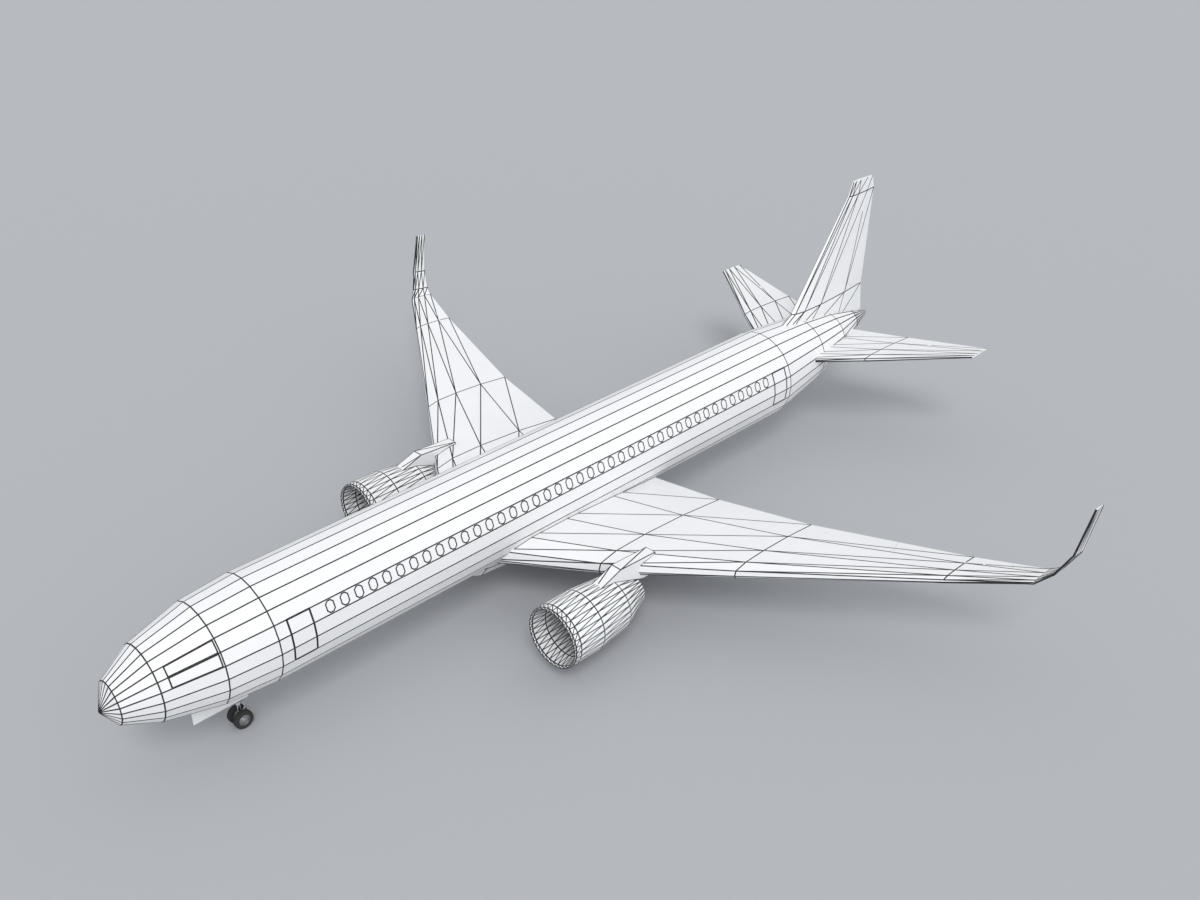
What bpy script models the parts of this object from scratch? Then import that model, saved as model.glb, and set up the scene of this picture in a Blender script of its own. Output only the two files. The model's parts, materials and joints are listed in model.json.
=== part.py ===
"""Twin-engine airliner standing on its landing gear, in metres, +Z up.

The nose points to -Y and the port side is +X. The origin is on the ground,
on the centreline, half way along the body. Places along the body are given
as stations, in metres behind the tip of the nose, and heights as metres above
the body's axis. Every form keeps the flat facets of the low-polygon original.
"""

import math

import bmesh
import bpy
from mathutils import Matrix, Vector

# Driving dimensions
LENGTH = 39.48
BODY_HALF_WIDTH = 1.912
BODY_HALF_HEIGHT = 1.970
AXIS_HEIGHT = 3.54
BODY_SIDES = 24
GAP = 0.0004
SOCKET_GAP = 0.0007

# Body rings: station, half width, half height, height of centre
NOSE_TIP = (0.0, 0.035, 0.035, -0.300)
NOSE_RING = (0.390, 0.710, 0.768, -0.179)
RADOME_RING = (1.486, 1.276, 1.367, -0.075)
CABIN_FRONT = (5.180, BODY_HALF_WIDTH, BODY_HALF_HEIGHT, 0.0)
CABIN_REAR = (31.190, BODY_HALF_WIDTH, BODY_HALF_HEIGHT, 0.0)
WINDSCREEN_REAR = (3.386, 1.753, 1.836, -0.019)
TAIL_RING = (38.142, 0.533, 0.533, 0.426)
TAIL_TIP = (LENGTH, 0.090, 0.090, 0.455)
BODY_RINGS = [
    RADOME_RING,
    WINDSCREEN_REAR,
    CABIN_FRONT,
    CABIN_REAR,
    (34.110, 1.586, 1.594, 0.158),
    (36.169, 1.217, 1.172, 0.302),
    TAIL_RING,
]

# Doors, between two corners of the body's rings, counted from the top
DOOR_STATIONS = {"forward": 5.630, "aft": 30.060}
DOOR_WIDTH = 0.834
DOOR_TOP_CORNER, DOOR_BOTTOM_CORNER = 4, 7
DOOR_DEPTH = 0.14
DOOR_INSET = 0.004

# Cockpit panes, one to a facet of the bay behind the radome
PANE_CORNERS = {"front": 3, "side": 4}
PANE_START, PANE_END = 0.17, 0.965
PANE_MARGIN = 0.05
PANE_DEPTH = 0.045

# Section shared by the wing and the tail: chord fraction, height over chord
UPPER_SKIN = [(0.013, 0.045), (0.135, 0.068), (0.36, 0.065), (0.68, 0.042)]
LOWER_SKIN = [(0.68, -0.026), (0.36, -0.048), (0.135, -0.042), (0.013, -0.020)]
EDGE_THICKNESS = 0.012

# Wing sections: distance out, station and height of the leading edge, and of the trailing edge
WING_SECTIONS = [
    (0.64, 14.08, -1.37, 22.81, -1.35),
    (4.68, 16.43, -1.09, 23.08, -1.02),
    (8.68, 19.18, -0.68, 23.65, -0.60),
    (14.51, 23.12, 0.04, 25.14, 0.075),
    (16.91, 24.73, 0.375, 25.91, 0.385),
]
# Winglet sections also have the lean of the section from level, in degrees
WINGLET_SECTIONS = [
    (16.91, 24.73, 0.375, 25.91, 0.385, 5.0),
    (17.32, 25.16, 0.70, 26.05, 0.60, 52.0),
    (17.70, 25.53, 1.45, 26.24, 1.35, 72.0),
    (17.91, 26.04, 3.18, 26.55, 3.15, 80.0),
]
WINGLET_THICKNESS = 0.8
STABILIZER_SECTIONS = [
    (0.30, 32.42, 0.25, 37.33, 0.38),
    (3.46, 34.45, 0.70, 37.94, 0.696),
    (7.15, 37.22, 1.160, 38.55, 1.156),
]
STABILIZER_THICKNESS = 0.62
# Fin sections: height, station of the leading edge, and of the trailing edge
FIN_SECTIONS = [
    (0.735, 30.78, 39.08),
    (2.18, 33.44, 38.87),
    (6.85, 37.04, 39.06),
    (7.48, 37.31, 38.90),
]
FIN_HALF_SECTION = [(0.0, 0.0), (0.03, 0.022), (0.133, 0.040), (0.35, 0.045), (0.72, 0.026)]

# Control surfaces: from where to where the hinge runs, and the chord behind it at both ends
AILERON_SPAN, AILERON_CHORDS = (12.2, 15.9), (0.83, 0.40)
ELEVATOR_SPAN, ELEVATOR_CHORDS = (1.75, 6.85), (1.05, 0.385)
RUDDER_SPAN, RUDDER_CHORDS = (2.40, 6.80), (1.22, 0.61)
FLAP_SPANS = {"inboard": (2.15, 5.90), "outboard": (5.94, 11.95)}
FLAP_CHORDS = {"inboard": (1.35, 1.10), "outboard": (1.10, 0.80)}
# Slot ahead of each hinge line, wide enough for the surface's corners at its limits
AILERON_SLOT, ELEVATOR_SLOT, RUDDER_SLOT = 0.032, 0.044, 0.022
NOSE_GAP = 0.008
HINGE_END_GAP = 0.010
PIN_RADIUS = 0.014
PIN_LENGTH = 0.12
PIN_GAP = 0.0006
# Blocks that part a surface from its wing: reach behind the hinge, height, overhang of the nose, its sides
SURFACE_REACH = 2.2
SURFACE_TALL = 1.2
NOSE_OVERHANG = 0.03
NOSE_SIDES = 20
PIN_SIDES = 10

# Engines: profiles of radius and station
ENGINE_OUT = 5.65
ENGINE_HEIGHT = -1.78
NACELLE_STEPS = 32
NACELLE_OUTER = [(1.125, 13.17), (1.165, 13.25), (1.188, 13.467), (1.188, 14.575), (1.035, 16.03), (0.590, 17.22)]
NACELLE_INNER = [(0.560, 17.22), (0.930, 16.03), (1.010, 14.70), (0.985, 13.80), (1.060, 13.25)]
CORE_PROFILE = [(0.0, 15.25), (0.52, 15.25), (0.58, 15.80), (0.42, 16.70), (0.24, 17.00), (0.0, 17.15)]
CORE_SHAFT_RADIUS = 0.12
VANE_COUNT = 8
VANE_STATION = 15.70
VANE_CHORD = 0.36
VANE_THICKNESS = 0.05
FAN_STATION = 14.85
FAN_DEPTH = 0.22
FAN_RADIUS = 0.965
HUB_RADIUS = 0.34
BLADE_COUNT = 18
BLADE_TWIST = 9.0
# Corners of a blade round the hub: share of the pitch, and radius
BLADE_CORNERS = ((-0.30, HUB_RADIUS), (-0.13, FAN_RADIUS), (0.13, FAN_RADIUS), (0.30, HUB_RADIUS))
SPINNER_PROFILE = [(0.0, -0.50), (0.16, -0.40), (0.27, -0.20), (0.33, 0.0), (0.33, 0.08), (0.0, 0.08)]
PYLON_WIDTH = 0.45
PYLON_OUTLINE = [
    (14.90, -0.86), (15.46, -0.66), (16.32, -0.37), (18.10, -0.48), (18.15, -0.89), (19.60, -1.19),
    (19.60, -1.27), (18.40, -1.41), (17.50, -1.34), (17.05, -1.19), (16.60, -1.09), (14.90, -1.07),
]

# Landing gear: stations and distances out, tyres as radius and width
MAIN_STATION = 20.10
MAIN_OUT = 2.86
MAIN_TYRE = (0.565, 0.42)
MAIN_RIM_RADIUS = 0.30
MAIN_WHEEL_OFFSET = 0.43
MAIN_LEG_RADIUS = 0.115
MAIN_BRACE_RADIUS = 0.05
# The brace: height of its foot above the axle, distance out and height of its head, and its shift off the leg's seam
MAIN_BRACE_FOOT = 0.75
MAIN_BRACE_HEAD = (1.12, -1.96)
MAIN_BRACE_SHIFT = 0.013
MAIN_BRACE_INSET = 0.02
MAIN_LEG_TOP = 0.10
MAIN_LEG_BOTTOM = 0.08
# Torque links: lowest and highest height above the axle, reach behind the strut, and radius
MAIN_LINKS = (0.16, 0.66, 0.34, 0.032)
NOSE_LINKS = (0.12, 0.52, 0.24, 0.022)
MAIN_LINK_SHIFT, NOSE_LINK_SHIFT = 0.009, 0.007
BRACE_SIDES = 12
LINK_SIDES = 8
# Rims: half width over the tyre's, width of the hub, and the dish as depth, shares and rim edge
RIM_SHARE = 0.80
RIM_HUB = 0.05
RIM_STEP = 0.02
RIM_DISH = (0.55, 0.45)
NOSE_STATION = 4.30
NOSE_TYRE = (0.345, 0.20)
NOSE_RIM_RADIUS = 0.19
NOSE_WHEEL_OFFSET = 0.20
NOSE_LEG_RADIUS = 0.085
NOSE_STRUT_LENGTH = 0.62
NOSE_STRUT_SHARE = 0.8
NOSE_BRACE_RADIUS = 0.035
NOSE_BRACE_FOOT = 0.22
NOSE_BRACE_HEAD = 2.95
NOSE_BRACE_SHIFT = 0.011
WHEEL_STEPS = 24
AXLE_RADIUS = 0.055
WHEEL_BORE_GAP = 0.0006

# Nose gear bay and its doors, then the doors on the main legs
BAY_STATIONS = (2.55, 4.62)
BAY_HALF_WIDTH = 0.27
BAY_ROOF = -1.35
NOSE_DOOR_STATIONS = (2.60, 4.55)
NOSE_DOOR_BOTTOM = -2.30
DOOR_PLATE = 0.03
MAIN_DOOR_OFFSET = 0.155
MAIN_DOOR_HALF_LENGTH = 0.31
MAIN_DOOR_BOTTOM = -2.28
MAIN_DOOR_HEIGHT = 1.3
MAIN_DOOR_BRACKETS = (0.18, 0.62)
BRACKET_RADIUS = 0.03
BRACKET_SHIFT = 0.017

# Round bosses that take a jack: distance out, station, radius and how far they stand proud
NOSE_JACK = (0.0, 7.0, 0.09, 0.06)
WING_JACK = (3.9, 20.6, 0.09, 0.06)

# Belly fairing: station, half width and lowest height of each ring
FAIRING_SECTIONS = [
    (12.6, 0.30, -1.80), (14.2, 1.05, -2.15), (17.5, 1.45, -2.21),
    (21.5, 1.45, -2.21), (23.6, 1.00, -2.09), (25.2, 0.25, -1.80),
]
FAIRING_TOP = -1.24
FAIRING_SIDE = 0.45


def clear_scene():
    for old in list(bpy.data.objects):
        bpy.data.objects.remove(old, do_unlink=True)


def new_collection(name):
    group = bpy.data.collections.new(name)
    bpy.context.scene.collection.children.link(group)
    return group


clear_scene()
PARTS = new_collection("airliner")
CUTTERS = new_collection("cutters")


def make_material(name, color, roughness, metallic=0.0):
    material = bpy.data.materials.new(name)
    material.use_nodes = True
    shader = material.node_tree.nodes["Principled BSDF"]
    shader.inputs["Base Color"].default_value = (*color, 1.0)
    shader.inputs["Roughness"].default_value = roughness
    shader.inputs["Metallic"].default_value = metallic
    material.diffuse_color = (*color, 1.0)
    return material


WHITE = make_material("white_paint", (0.86, 0.87, 0.88), 0.38)
METAL = make_material("bare_metal", (0.62, 0.63, 0.65), 0.30, 1.0)
DARK_METAL = make_material("dark_metal", (0.18, 0.18, 0.20), 0.42, 1.0)
RUBBER = make_material("tyre_rubber", (0.03, 0.03, 0.032), 0.80)


def aft(station):
    """Y of a station."""
    return station - LENGTH / 2


def up(height):
    """Z of a height above the body's axis."""
    return AXIS_HEIGHT + height


def finish_mesh(name, bm, material, group=None):
    """Turn a bmesh into an object whose faces point out."""
    bm.normal_update()
    bmesh.ops.recalc_face_normals(bm, faces=bm.faces)
    mesh = bpy.data.meshes.new(name)
    bm.to_mesh(mesh)
    bm.free()
    item = bpy.data.objects.new(name, mesh)
    (group or PARTS).objects.link(item)
    if material:
        mesh.materials.append(material)
    if group is CUTTERS:
        item.hide_render = True
        item.display_type = "WIRE"
    return item


def loft(name, rings, material=None, group=None):
    """Skin a list of rings that all have the same number of points, and cap both ends."""
    bm = bmesh.new()
    loops = [[bm.verts.new(point) for point in ring] for ring in rings]
    count = len(loops[0])
    for front, rear in zip(loops, loops[1:]):
        for i in range(count):
            j = (i + 1) % count
            bm.faces.new((front[i], front[j], rear[j]))
            bm.faces.new((front[i], rear[j], rear[i]))
    bm.faces.new(loops[0])
    bm.faces.new(list(reversed(loops[-1])))
    return finish_mesh(name, bm, material, group)


def boolean(target, cutter, operation="DIFFERENCE"):
    """Apply a Boolean between two objects and leave the result in the first."""
    modifier = target.modifiers.new(operation.lower(), "BOOLEAN")
    modifier.operation = operation
    modifier.solver = "EXACT"
    modifier.object = cutter
    bpy.context.view_layer.update()
    graph = bpy.context.evaluated_depsgraph_get()
    mesh = bpy.data.meshes.new_from_object(target.evaluated_get(graph))
    target.modifiers.clear()
    old = target.data
    target.data = mesh
    bpy.data.meshes.remove(old)


def copy_of(item, name):
    twin = item.copy()
    twin.data = item.data.copy()
    twin.name = name
    PARTS.objects.link(twin)
    return twin


def one_material(item, material):
    """A Boolean leaves its cutter's empty slot behind, so the slots are filled again."""
    item.data.materials.clear()
    item.data.materials.append(material)


def shade_round(item):
    item.data.shade_smooth()
    item.data.set_sharp_from_angle(angle=math.radians(30.0))


def set_origin(item, pivot):
    """Move an object's origin to a point and leave its shape where it is."""
    offset = Vector(pivot) - item.location
    item.data.transform(Matrix.Translation(-offset))
    item.location = pivot


def place_cylinder(name, start, end, radius, material=None, group=None, sides=16, end_radius=None):
    """A cylinder, or a cone with its own radius at the end, between two points."""
    start, end = Vector(start), Vector(end)
    run = end - start
    bm = bmesh.new()
    bmesh.ops.create_cone(
        bm, cap_ends=True, segments=sides, radius1=radius, radius2=end_radius or radius, depth=run.length
    )
    turn = run.to_track_quat("Z", "Y").to_matrix().to_4x4()
    bm.transform(Matrix.Translation((start + end) / 2) @ turn)
    return finish_mesh(name, bm, material, group)


def place_box(name, low, high, material=None, group=None):
    """A box between its lowest and highest corners."""
    low, high = Vector(low), Vector(high)
    bm = bmesh.new()
    bmesh.ops.create_cube(bm, size=1.0)
    size = high - low
    bm.transform(Matrix.Translation((low + high) / 2) @ Matrix.Diagonal((*size, 1.0)))
    return finish_mesh(name, bm, material, group)


def turned(name, profile, centre, axis, steps, material=None, group=None, closed=False):
    """Screw a profile of (radius, distance along the axis) about X or Y.

    A piece turned about X, such as a tyre, has a flat at its lowest point.
    """
    bm = bmesh.new()
    points = [bm.verts.new((radius, 0.0, -along)) for radius, along in profile]
    for first, second in zip(points, points[1:]):
        bm.edges.new((first, second))
    if closed:
        bm.edges.new((points[-1], points[0]))
    mesh = bpy.data.meshes.new(name)
    bm.to_mesh(mesh)
    bm.free()
    item = bpy.data.objects.new(name, mesh)
    PARTS.objects.link(item)
    screw = item.modifiers.new("turn", "SCREW")
    screw.axis = "Z"
    screw.steps = steps
    screw.render_steps = steps
    screw.use_merge_vertices = True
    screw.merge_threshold = 0.0001
    bpy.context.view_layer.update()
    graph = bpy.context.evaluated_depsgraph_get()
    solid = bpy.data.meshes.new_from_object(item.evaluated_get(graph))
    bpy.data.objects.remove(item, do_unlink=True)
    bm = bmesh.new()
    bm.from_mesh(solid)
    bmesh.ops.remove_doubles(bm, verts=bm.verts, dist=0.00005)
    # The profile's own -Z becomes the aft or outboard direction
    target = Vector((0, 1, 0)) if axis == "Y" else Vector((1, 0, 0))
    turn = Vector((0, 0, -1)).rotation_difference(target).to_matrix().to_4x4()
    if axis == "X":
        turn = Matrix.Rotation(math.pi / steps, 4, "X") @ turn
    bm.transform(Matrix.Translation(centre) @ turn)
    return finish_mesh(name, bm, material, group)


def mirrored(point, side):
    return side * point[0], point[1], point[2]


def side_box(name, side, low, high, material=None, group=None):
    """A box given for the port side, and mirrored for the other."""
    a, b = mirrored(low, side), mirrored(high, side)
    return place_box(name, (min(a[0], b[0]), a[1], a[2]), (max(a[0], b[0]), b[1], b[2]), material, group)


def axle_height(tyre):
    """Height of an axle whose tyre rests on one of its flats."""
    return tyre[0] * math.cos(math.pi / WHEEL_STEPS)


def body_corner(ring, corner, grow=0.0):
    """Corner of a ring of the body, counted from the top towards port."""
    station, half_width, half_height, height = ring
    angle = math.pi / 2 - corner * 2 * math.pi / BODY_SIDES
    x = (half_width + grow) * math.cos(angle)
    z = (half_height + grow) * math.sin(angle)
    return x, aft(station), up(height + z)


def body_ring(ring, grow=0.0, shift=0.0):
    """All corners of a ring of the body, moved along it by the shift."""
    corners = [body_corner(ring, k, grow) for k in range(BODY_SIDES)]
    return [(x, y + shift, z) for x, y, z in corners]


def make_body():
    """Radome, fuselage and tail cone, with the solid that cuts their neighbours."""
    fuselage = loft("fuselage", [body_ring(ring) for ring in BODY_RINGS], WHITE)
    radome = [body_ring(NOSE_TIP), body_ring(NOSE_RING), body_ring(RADOME_RING, shift=-GAP)]
    loft("radome", radome, WHITE)
    loft("tail_cone", [body_ring(TAIL_RING, shift=GAP), body_ring(TAIL_TIP)], WHITE)
    envelope = loft("body_envelope", [body_ring(ring, GAP) for ring in BODY_RINGS + [TAIL_TIP]], group=CUTTERS)
    return fuselage, envelope


def split_panel(fuselage, whole, name, keep, pocket):
    """Take a flush panel out of the fuselage, with a hairline gap round it."""
    panel = copy_of(whole, name)
    boolean(panel, keep, "INTERSECT")
    one_material(panel, WHITE)
    boolean(fuselage, pocket)


def make_doors(fuselage, whole):
    """Four plug doors, flush with the body."""
    high = body_corner(CABIN_FRONT, DOOR_TOP_CORNER)[2] - DOOR_INSET
    low = body_corner(CABIN_FRONT, DOOR_BOTTOM_CORNER)[2] + DOOR_INSET
    inner = body_corner(CABIN_FRONT, DOOR_TOP_CORNER)[0] - DOOR_DEPTH
    outer = BODY_HALF_WIDTH + DOOR_DEPTH
    for place, station in DOOR_STATIONS.items():
        for side, label in ((1, "port"), (-1, "starboard")):
            name = "door_" + place + "_" + label
            front, rear = aft(station), aft(station + DOOR_WIDTH)
            keep = side_box(name + "_keep", side, (inner, front, low), (outer, rear, high), group=CUTTERS)
            pocket = side_box(
                name + "_pocket", side, (inner - GAP, front - GAP, low - GAP),
                (outer, rear + GAP, high + GAP), group=CUTTERS,
            )
            split_panel(fuselage, whole, name, keep, pocket)


def pane_prism(name, side, corner, grow):
    """Block that stands through one facet behind the radome, where a cockpit pane sits."""
    ends = []
    for share in (PANE_START, PANE_END):
        for across in (PANE_MARGIN, 1.0 - PANE_MARGIN):
            point = Vector((0.0, 0.0, 0.0))
            for ring, weight in ((RADOME_RING, 1.0 - share), (WINDSCREEN_REAR, share)):
                first = Vector(body_corner(ring, corner))
                second = Vector(body_corner(ring, corner + 1))
                point += weight * first.lerp(second, across)
            ends.append(point)
    outline = [ends[0], ends[1], ends[3], ends[2]]
    middle = sum(outline, Vector((0.0, 0.0, 0.0))) / len(outline)
    normal = (outline[2] - outline[0]).cross(outline[3] - outline[1]).normalized()
    if normal.x < 0.0:
        normal = -normal
    grown = [point + (point - middle).normalized() * grow for point in outline]
    rings = []
    for depth in (-(PANE_DEPTH + grow), PANE_DEPTH):
        rings.append([mirrored(point + normal * depth, side) for point in grown])
    return loft(name, rings, group=CUTTERS)


def make_panes(fuselage, whole):
    """Two cockpit panes each side, flush with the body."""
    for place, corner in PANE_CORNERS.items():
        for side, label in ((1, "port"), (-1, "starboard")):
            name = "pane_" + place + "_" + label
            keep = pane_prism(name + "_keep", side, corner, 0.0)
            pocket = pane_prism(name + "_pocket", side, corner, GAP * 2)
            split_panel(fuselage, whole, name, keep, pocket)


def wing_ring(side, section, thickness=1.0, lean=0.0, grow=0.0):
    """Points of one wing section. The lean turns the section's height outboard to inboard."""
    out, front, front_height, rear, rear_height = section
    chord = rear - front
    lean = math.radians(lean)
    shape = [(0.0, 0.0)] + [(f, h * thickness) for f, h in UPPER_SKIN]
    shape += [(1.0, EDGE_THICKNESS / 2 / chord), (1.0, -EDGE_THICKNESS / 2 / chord)]
    shape += [(f, h * thickness) for f, h in LOWER_SKIN]
    points = []
    for fraction, height in shape:
        height = height * chord + math.copysign(grow, height)
        base = front_height + (rear_height - front_height) * fraction
        x = out - height * math.sin(lean)
        z = base + height * math.cos(lean)
        station = front + chord * fraction
        if fraction == 0.0:
            station -= grow
        if fraction == 1.0:
            station += grow
        points.append((side * x, aft(station), up(z)))
    return points


def interpolate(sections, out):
    """Section of a wing at any distance out."""
    for inner, outer in zip(sections, sections[1:]):
        if inner[0] <= out <= outer[0]:
            share = (out - inner[0]) / (outer[0] - inner[0])
            return tuple(a + (b - a) * share for a, b in zip(inner, outer))
    return sections[-1]


def skin_height(sections, out, station, skin, thickness=1.0):
    """Height of the upper or lower skin at a place."""
    _, front, front_height, rear, rear_height = interpolate(sections, out)
    fraction = (station - front) / (rear - front)
    shape = [(0.0, 0.0)] + sorted(skin) + [(1.0, 0.0)]
    for first, second in zip(shape, shape[1:]):
        if first[0] <= fraction <= second[0]:
            share = (fraction - first[0]) / (second[0] - first[0])
            height = first[1] + (second[1] - first[1]) * share
            break
    base = front_height + (rear_height - front_height) * fraction
    return base + height * thickness * (rear - front)


def hinge_end(sections, out, chord, thickness=1.0):
    """Point half way through a wing, a chord ahead of the trailing edge, and the wing's half depth there."""
    station = interpolate(sections, out)[3] - chord
    top = skin_height(sections, out, station, UPPER_SKIN, thickness)
    bottom = skin_height(sections, out, station, LOWER_SKIN, thickness)
    return (out, aft(station), up((top + bottom) / 2)), (top - bottom) / 2


def hinge_ends(sections, span, chords, side, thickness=1.0):
    """Both ends of a hinge line on one side, each with the half depth of the wing."""
    ends = []
    for out, chord in zip(span, chords):
        point, half = hinge_end(sections, out, chord, thickness)
        ends.append((mirrored(point, side), half))
    return ends


def hinge_box(name, start, end, ahead, behind, beyond, tall):
    """A box laid along a hinge line, from ahead of it to behind it, and beyond both its ends."""
    start, end = Vector(start), Vector(end)
    along = (end - start).normalized()
    back = Vector((0.0, 1.0, 0.0))
    back = (back - along * back.dot(along)).normalized()
    normal = along.cross(back)
    length = (end - start).length + beyond * 2
    centre = (start + end) / 2 + back * (behind - ahead) / 2
    frame = Matrix((along, back, normal)).transposed().to_4x4()
    bm = bmesh.new()
    bmesh.ops.create_cube(bm, size=1.0)
    size = Matrix.Diagonal((length, ahead + behind, tall, 1.0))
    bm.transform(Matrix.Translation(centre) @ frame @ size)
    return finish_mesh(name, bm, None, CUTTERS)


def hinge_block(name, ends, ahead, grow, beyond):
    """Everything behind a hinge line and a round nose about it, with square ends."""
    (start, start_half), (end, end_half) = ends
    start, end = Vector(start), Vector(end)
    along = (end - start).normalized()
    block = hinge_box(name, start, end, ahead, SURFACE_REACH, beyond + 2 * NOSE_OVERHANG, SURFACE_TALL)
    overhang = along * (beyond + NOSE_OVERHANG)
    nose = place_cylinder(
        name + "_nose", start - overhang, end + overhang,
        start_half + grow, group=CUTTERS, sides=NOSE_SIDES, end_radius=end_half + grow,
    )
    boolean(block, nose, "UNION")
    slab = hinge_box(name + "_slab", start, end, SURFACE_TALL, SURFACE_REACH * 1.1, beyond, SURFACE_TALL * 1.2)
    boolean(block, slab, "INTERSECT")
    return block


def split_control_surface(wing, name, ends, slot):
    """Cut a hinged surface out of a wing, fin or stabilizer.

    Its nose is round about the hinge line, in a hollow of the wing, and the wing
    keeps a pin at both ends of the hinge.
    """
    start, end = Vector(ends[0][0]), Vector(ends[1][0])
    along = (end - start).normalized()
    surface = copy_of(wing, name)
    boolean(surface, hinge_block(name + "_keep", ends, 0.0, 0.0, 0.0), "INTERSECT")
    one_material(surface, WHITE)
    boolean(wing, hinge_block(name + "_slot", ends, slot, NOSE_GAP, HINGE_END_GAP))
    for root, tip in ((start - along * PIN_LENGTH, start), (end + along * PIN_LENGTH, end)):
        toward = (tip - root).normalized()
        pin = place_cylinder(name + "_pin", root, tip - toward * PIN_GAP, PIN_RADIUS, group=CUTTERS, sides=PIN_SIDES)
        boolean(wing, pin, "UNION")
    one_material(wing, WHITE)
    set_origin(surface, start)


def split_flap(wing, name, ends):
    """Take a flap out of the trailing edge, retracted, with a hairline gap."""
    start, end = Vector(ends[0][0]), Vector(ends[1][0])
    flap = copy_of(wing, name)
    boolean(flap, hinge_box(name + "_keep", start, end, 0.0, SURFACE_REACH, 0.0, SURFACE_TALL), "INTERSECT")
    one_material(flap, WHITE)
    boolean(wing, hinge_box(name + "_slot", start, end, GAP, SURFACE_REACH, GAP, SURFACE_TALL))
    one_material(wing, WHITE)


def jack_pad(target, side, place, skin):
    """A round boss with a flat face below the skin, where a jack stands."""
    out, station, radius, proud = place
    x, y = side * out, aft(station)
    pad = place_cylinder("jack_pad", (x, y, up(skin + radius)), (x, y, up(skin - proud)), radius, group=CUTTERS)
    boolean(target, pad, "UNION")
    one_material(target, WHITE)


def make_wing(side, label, envelope, leg_cutter):
    wing = loft("wing_" + label, [wing_ring(side, s) for s in WING_SECTIONS], WHITE)
    boolean(wing, envelope)
    for place, span in FLAP_SPANS.items():
        ends = hinge_ends(WING_SECTIONS, span, FLAP_CHORDS[place], side)
        split_flap(wing, "flap_" + place + "_" + label, ends)
    jack_pad(wing, side, WING_JACK, skin_height(WING_SECTIONS, WING_JACK[0], WING_JACK[1], LOWER_SKIN))
    boolean(wing, leg_cutter)
    ends = hinge_ends(WING_SECTIONS, AILERON_SPAN, AILERON_CHORDS, side)
    split_control_surface(wing, "aileron_" + label, ends, AILERON_SLOT)


def make_winglet(side, label):
    rings = [wing_ring(side, section[:5], WINGLET_THICKNESS, section[5]) for section in WINGLET_SECTIONS]
    tip = WING_SECTIONS[-1]
    rings[0] = [(side * (tip[0] + GAP), y, z) for _, y, z in wing_ring(side, tip)]
    loft("winglet_" + label, rings, WHITE)


def make_stabilizer(side, label, envelope):
    rings = [wing_ring(side, s, STABILIZER_THICKNESS) for s in STABILIZER_SECTIONS]
    stabilizer = loft("stabilizer_" + label, rings, WHITE)
    boolean(stabilizer, envelope)
    ends = hinge_ends(STABILIZER_SECTIONS, ELEVATOR_SPAN, ELEVATOR_CHORDS, side, STABILIZER_THICKNESS)
    split_control_surface(stabilizer, "elevator_" + label, ends, ELEVATOR_SLOT)


def fin_ring(height, front, rear):
    chord = rear - front
    half = FIN_HALF_SECTION[1:] + [(1.0, EDGE_THICKNESS / 2 / chord)]
    shape = [(0.0, 0.0)] + half + [(f, -w) for f, w in reversed(half)]
    return [(w * chord, aft(front + f * chord), up(height)) for f, w in shape]


def rudder_end(height, chord):
    """End of the rudder's hinge line and the fin's half depth there."""
    _, front, rear = interpolate(FIN_SECTIONS, height)
    station = rear - chord
    fraction = (station - front) / (rear - front)
    shape = FIN_HALF_SECTION + [(1.0, 0.0)]
    for first, second in zip(shape, shape[1:]):
        if first[0] <= fraction <= second[0]:
            share = (fraction - first[0]) / (second[0] - first[0])
            half = (first[1] + (second[1] - first[1]) * share) * (rear - front)
            break
    return (0.0, aft(station), up(height)), half


def make_fin(envelope):
    fin = loft("fin", [fin_ring(*section) for section in FIN_SECTIONS], WHITE)
    boolean(fin, envelope)
    ends = [rudder_end(height, chord) for height, chord in zip(RUDDER_SPAN, RUDDER_CHORDS)]
    split_control_surface(fin, "rudder", ends, RUDDER_SLOT)


def engine_centre(side):
    return side * ENGINE_OUT, aft(0.0), up(ENGINE_HEIGHT)


def make_nacelle(side, label):
    profile = NACELLE_OUTER + NACELLE_INNER
    nacelle = turned("nacelle_" + label, profile, engine_centre(side), "Y", NACELLE_STEPS, WHITE, closed=True)
    shade_round(nacelle)


def make_vanes(side):
    """Stays between the core and the nacelle, cut to the duct."""
    x, y, z = engine_centre(side)
    front, rear = NACELLE_INNER[-1][1], NACELLE_INNER[0][1]
    wall = [(radius - GAP, station) for radius, station in reversed(NACELLE_INNER)]
    duct = turned("duct", [(0.0, front)] + wall + [(0.0, rear)], (x, y, z), "Y", NACELLE_STEPS, group=CUTTERS)
    star = None
    for i in range(VANE_COUNT // 2):
        turn = Matrix.Rotation(math.pi * (i + 0.5) / (VANE_COUNT // 2), 4, "Y")
        size = Matrix.Diagonal((FAN_RADIUS * 2.5, VANE_CHORD, VANE_THICKNESS, 1.0))
        bm = bmesh.new()
        bmesh.ops.create_cube(bm, size=1.0)
        bm.transform(Matrix.Translation((x, aft(VANE_STATION), z)) @ turn @ size)
        vane = finish_mesh("vane", bm, None, CUTTERS)
        if star:
            boolean(star, vane, "UNION")
        else:
            star = vane
    boolean(star, duct, "INTERSECT")
    return star


def make_core(side, label):
    """Core block with its exhaust cone, the shaft end that carries the fan, and the stays to the nacelle."""
    x, y, z = engine_centre(side)
    core = turned("engine_core_" + label, CORE_PROFILE, (x, y, z), "Y", NACELLE_STEPS, DARK_METAL)
    fan_rear = aft(FAN_STATION + FAN_DEPTH + GAP)
    shaft = place_cylinder(
        "shaft", (x, fan_rear, z), (x, aft(VANE_STATION), z), CORE_SHAFT_RADIUS, group=CUTTERS
    )
    boolean(core, shaft, "UNION")
    boolean(core, make_vanes(side), "UNION")
    one_material(core, DARK_METAL)
    shade_round(core)


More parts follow.
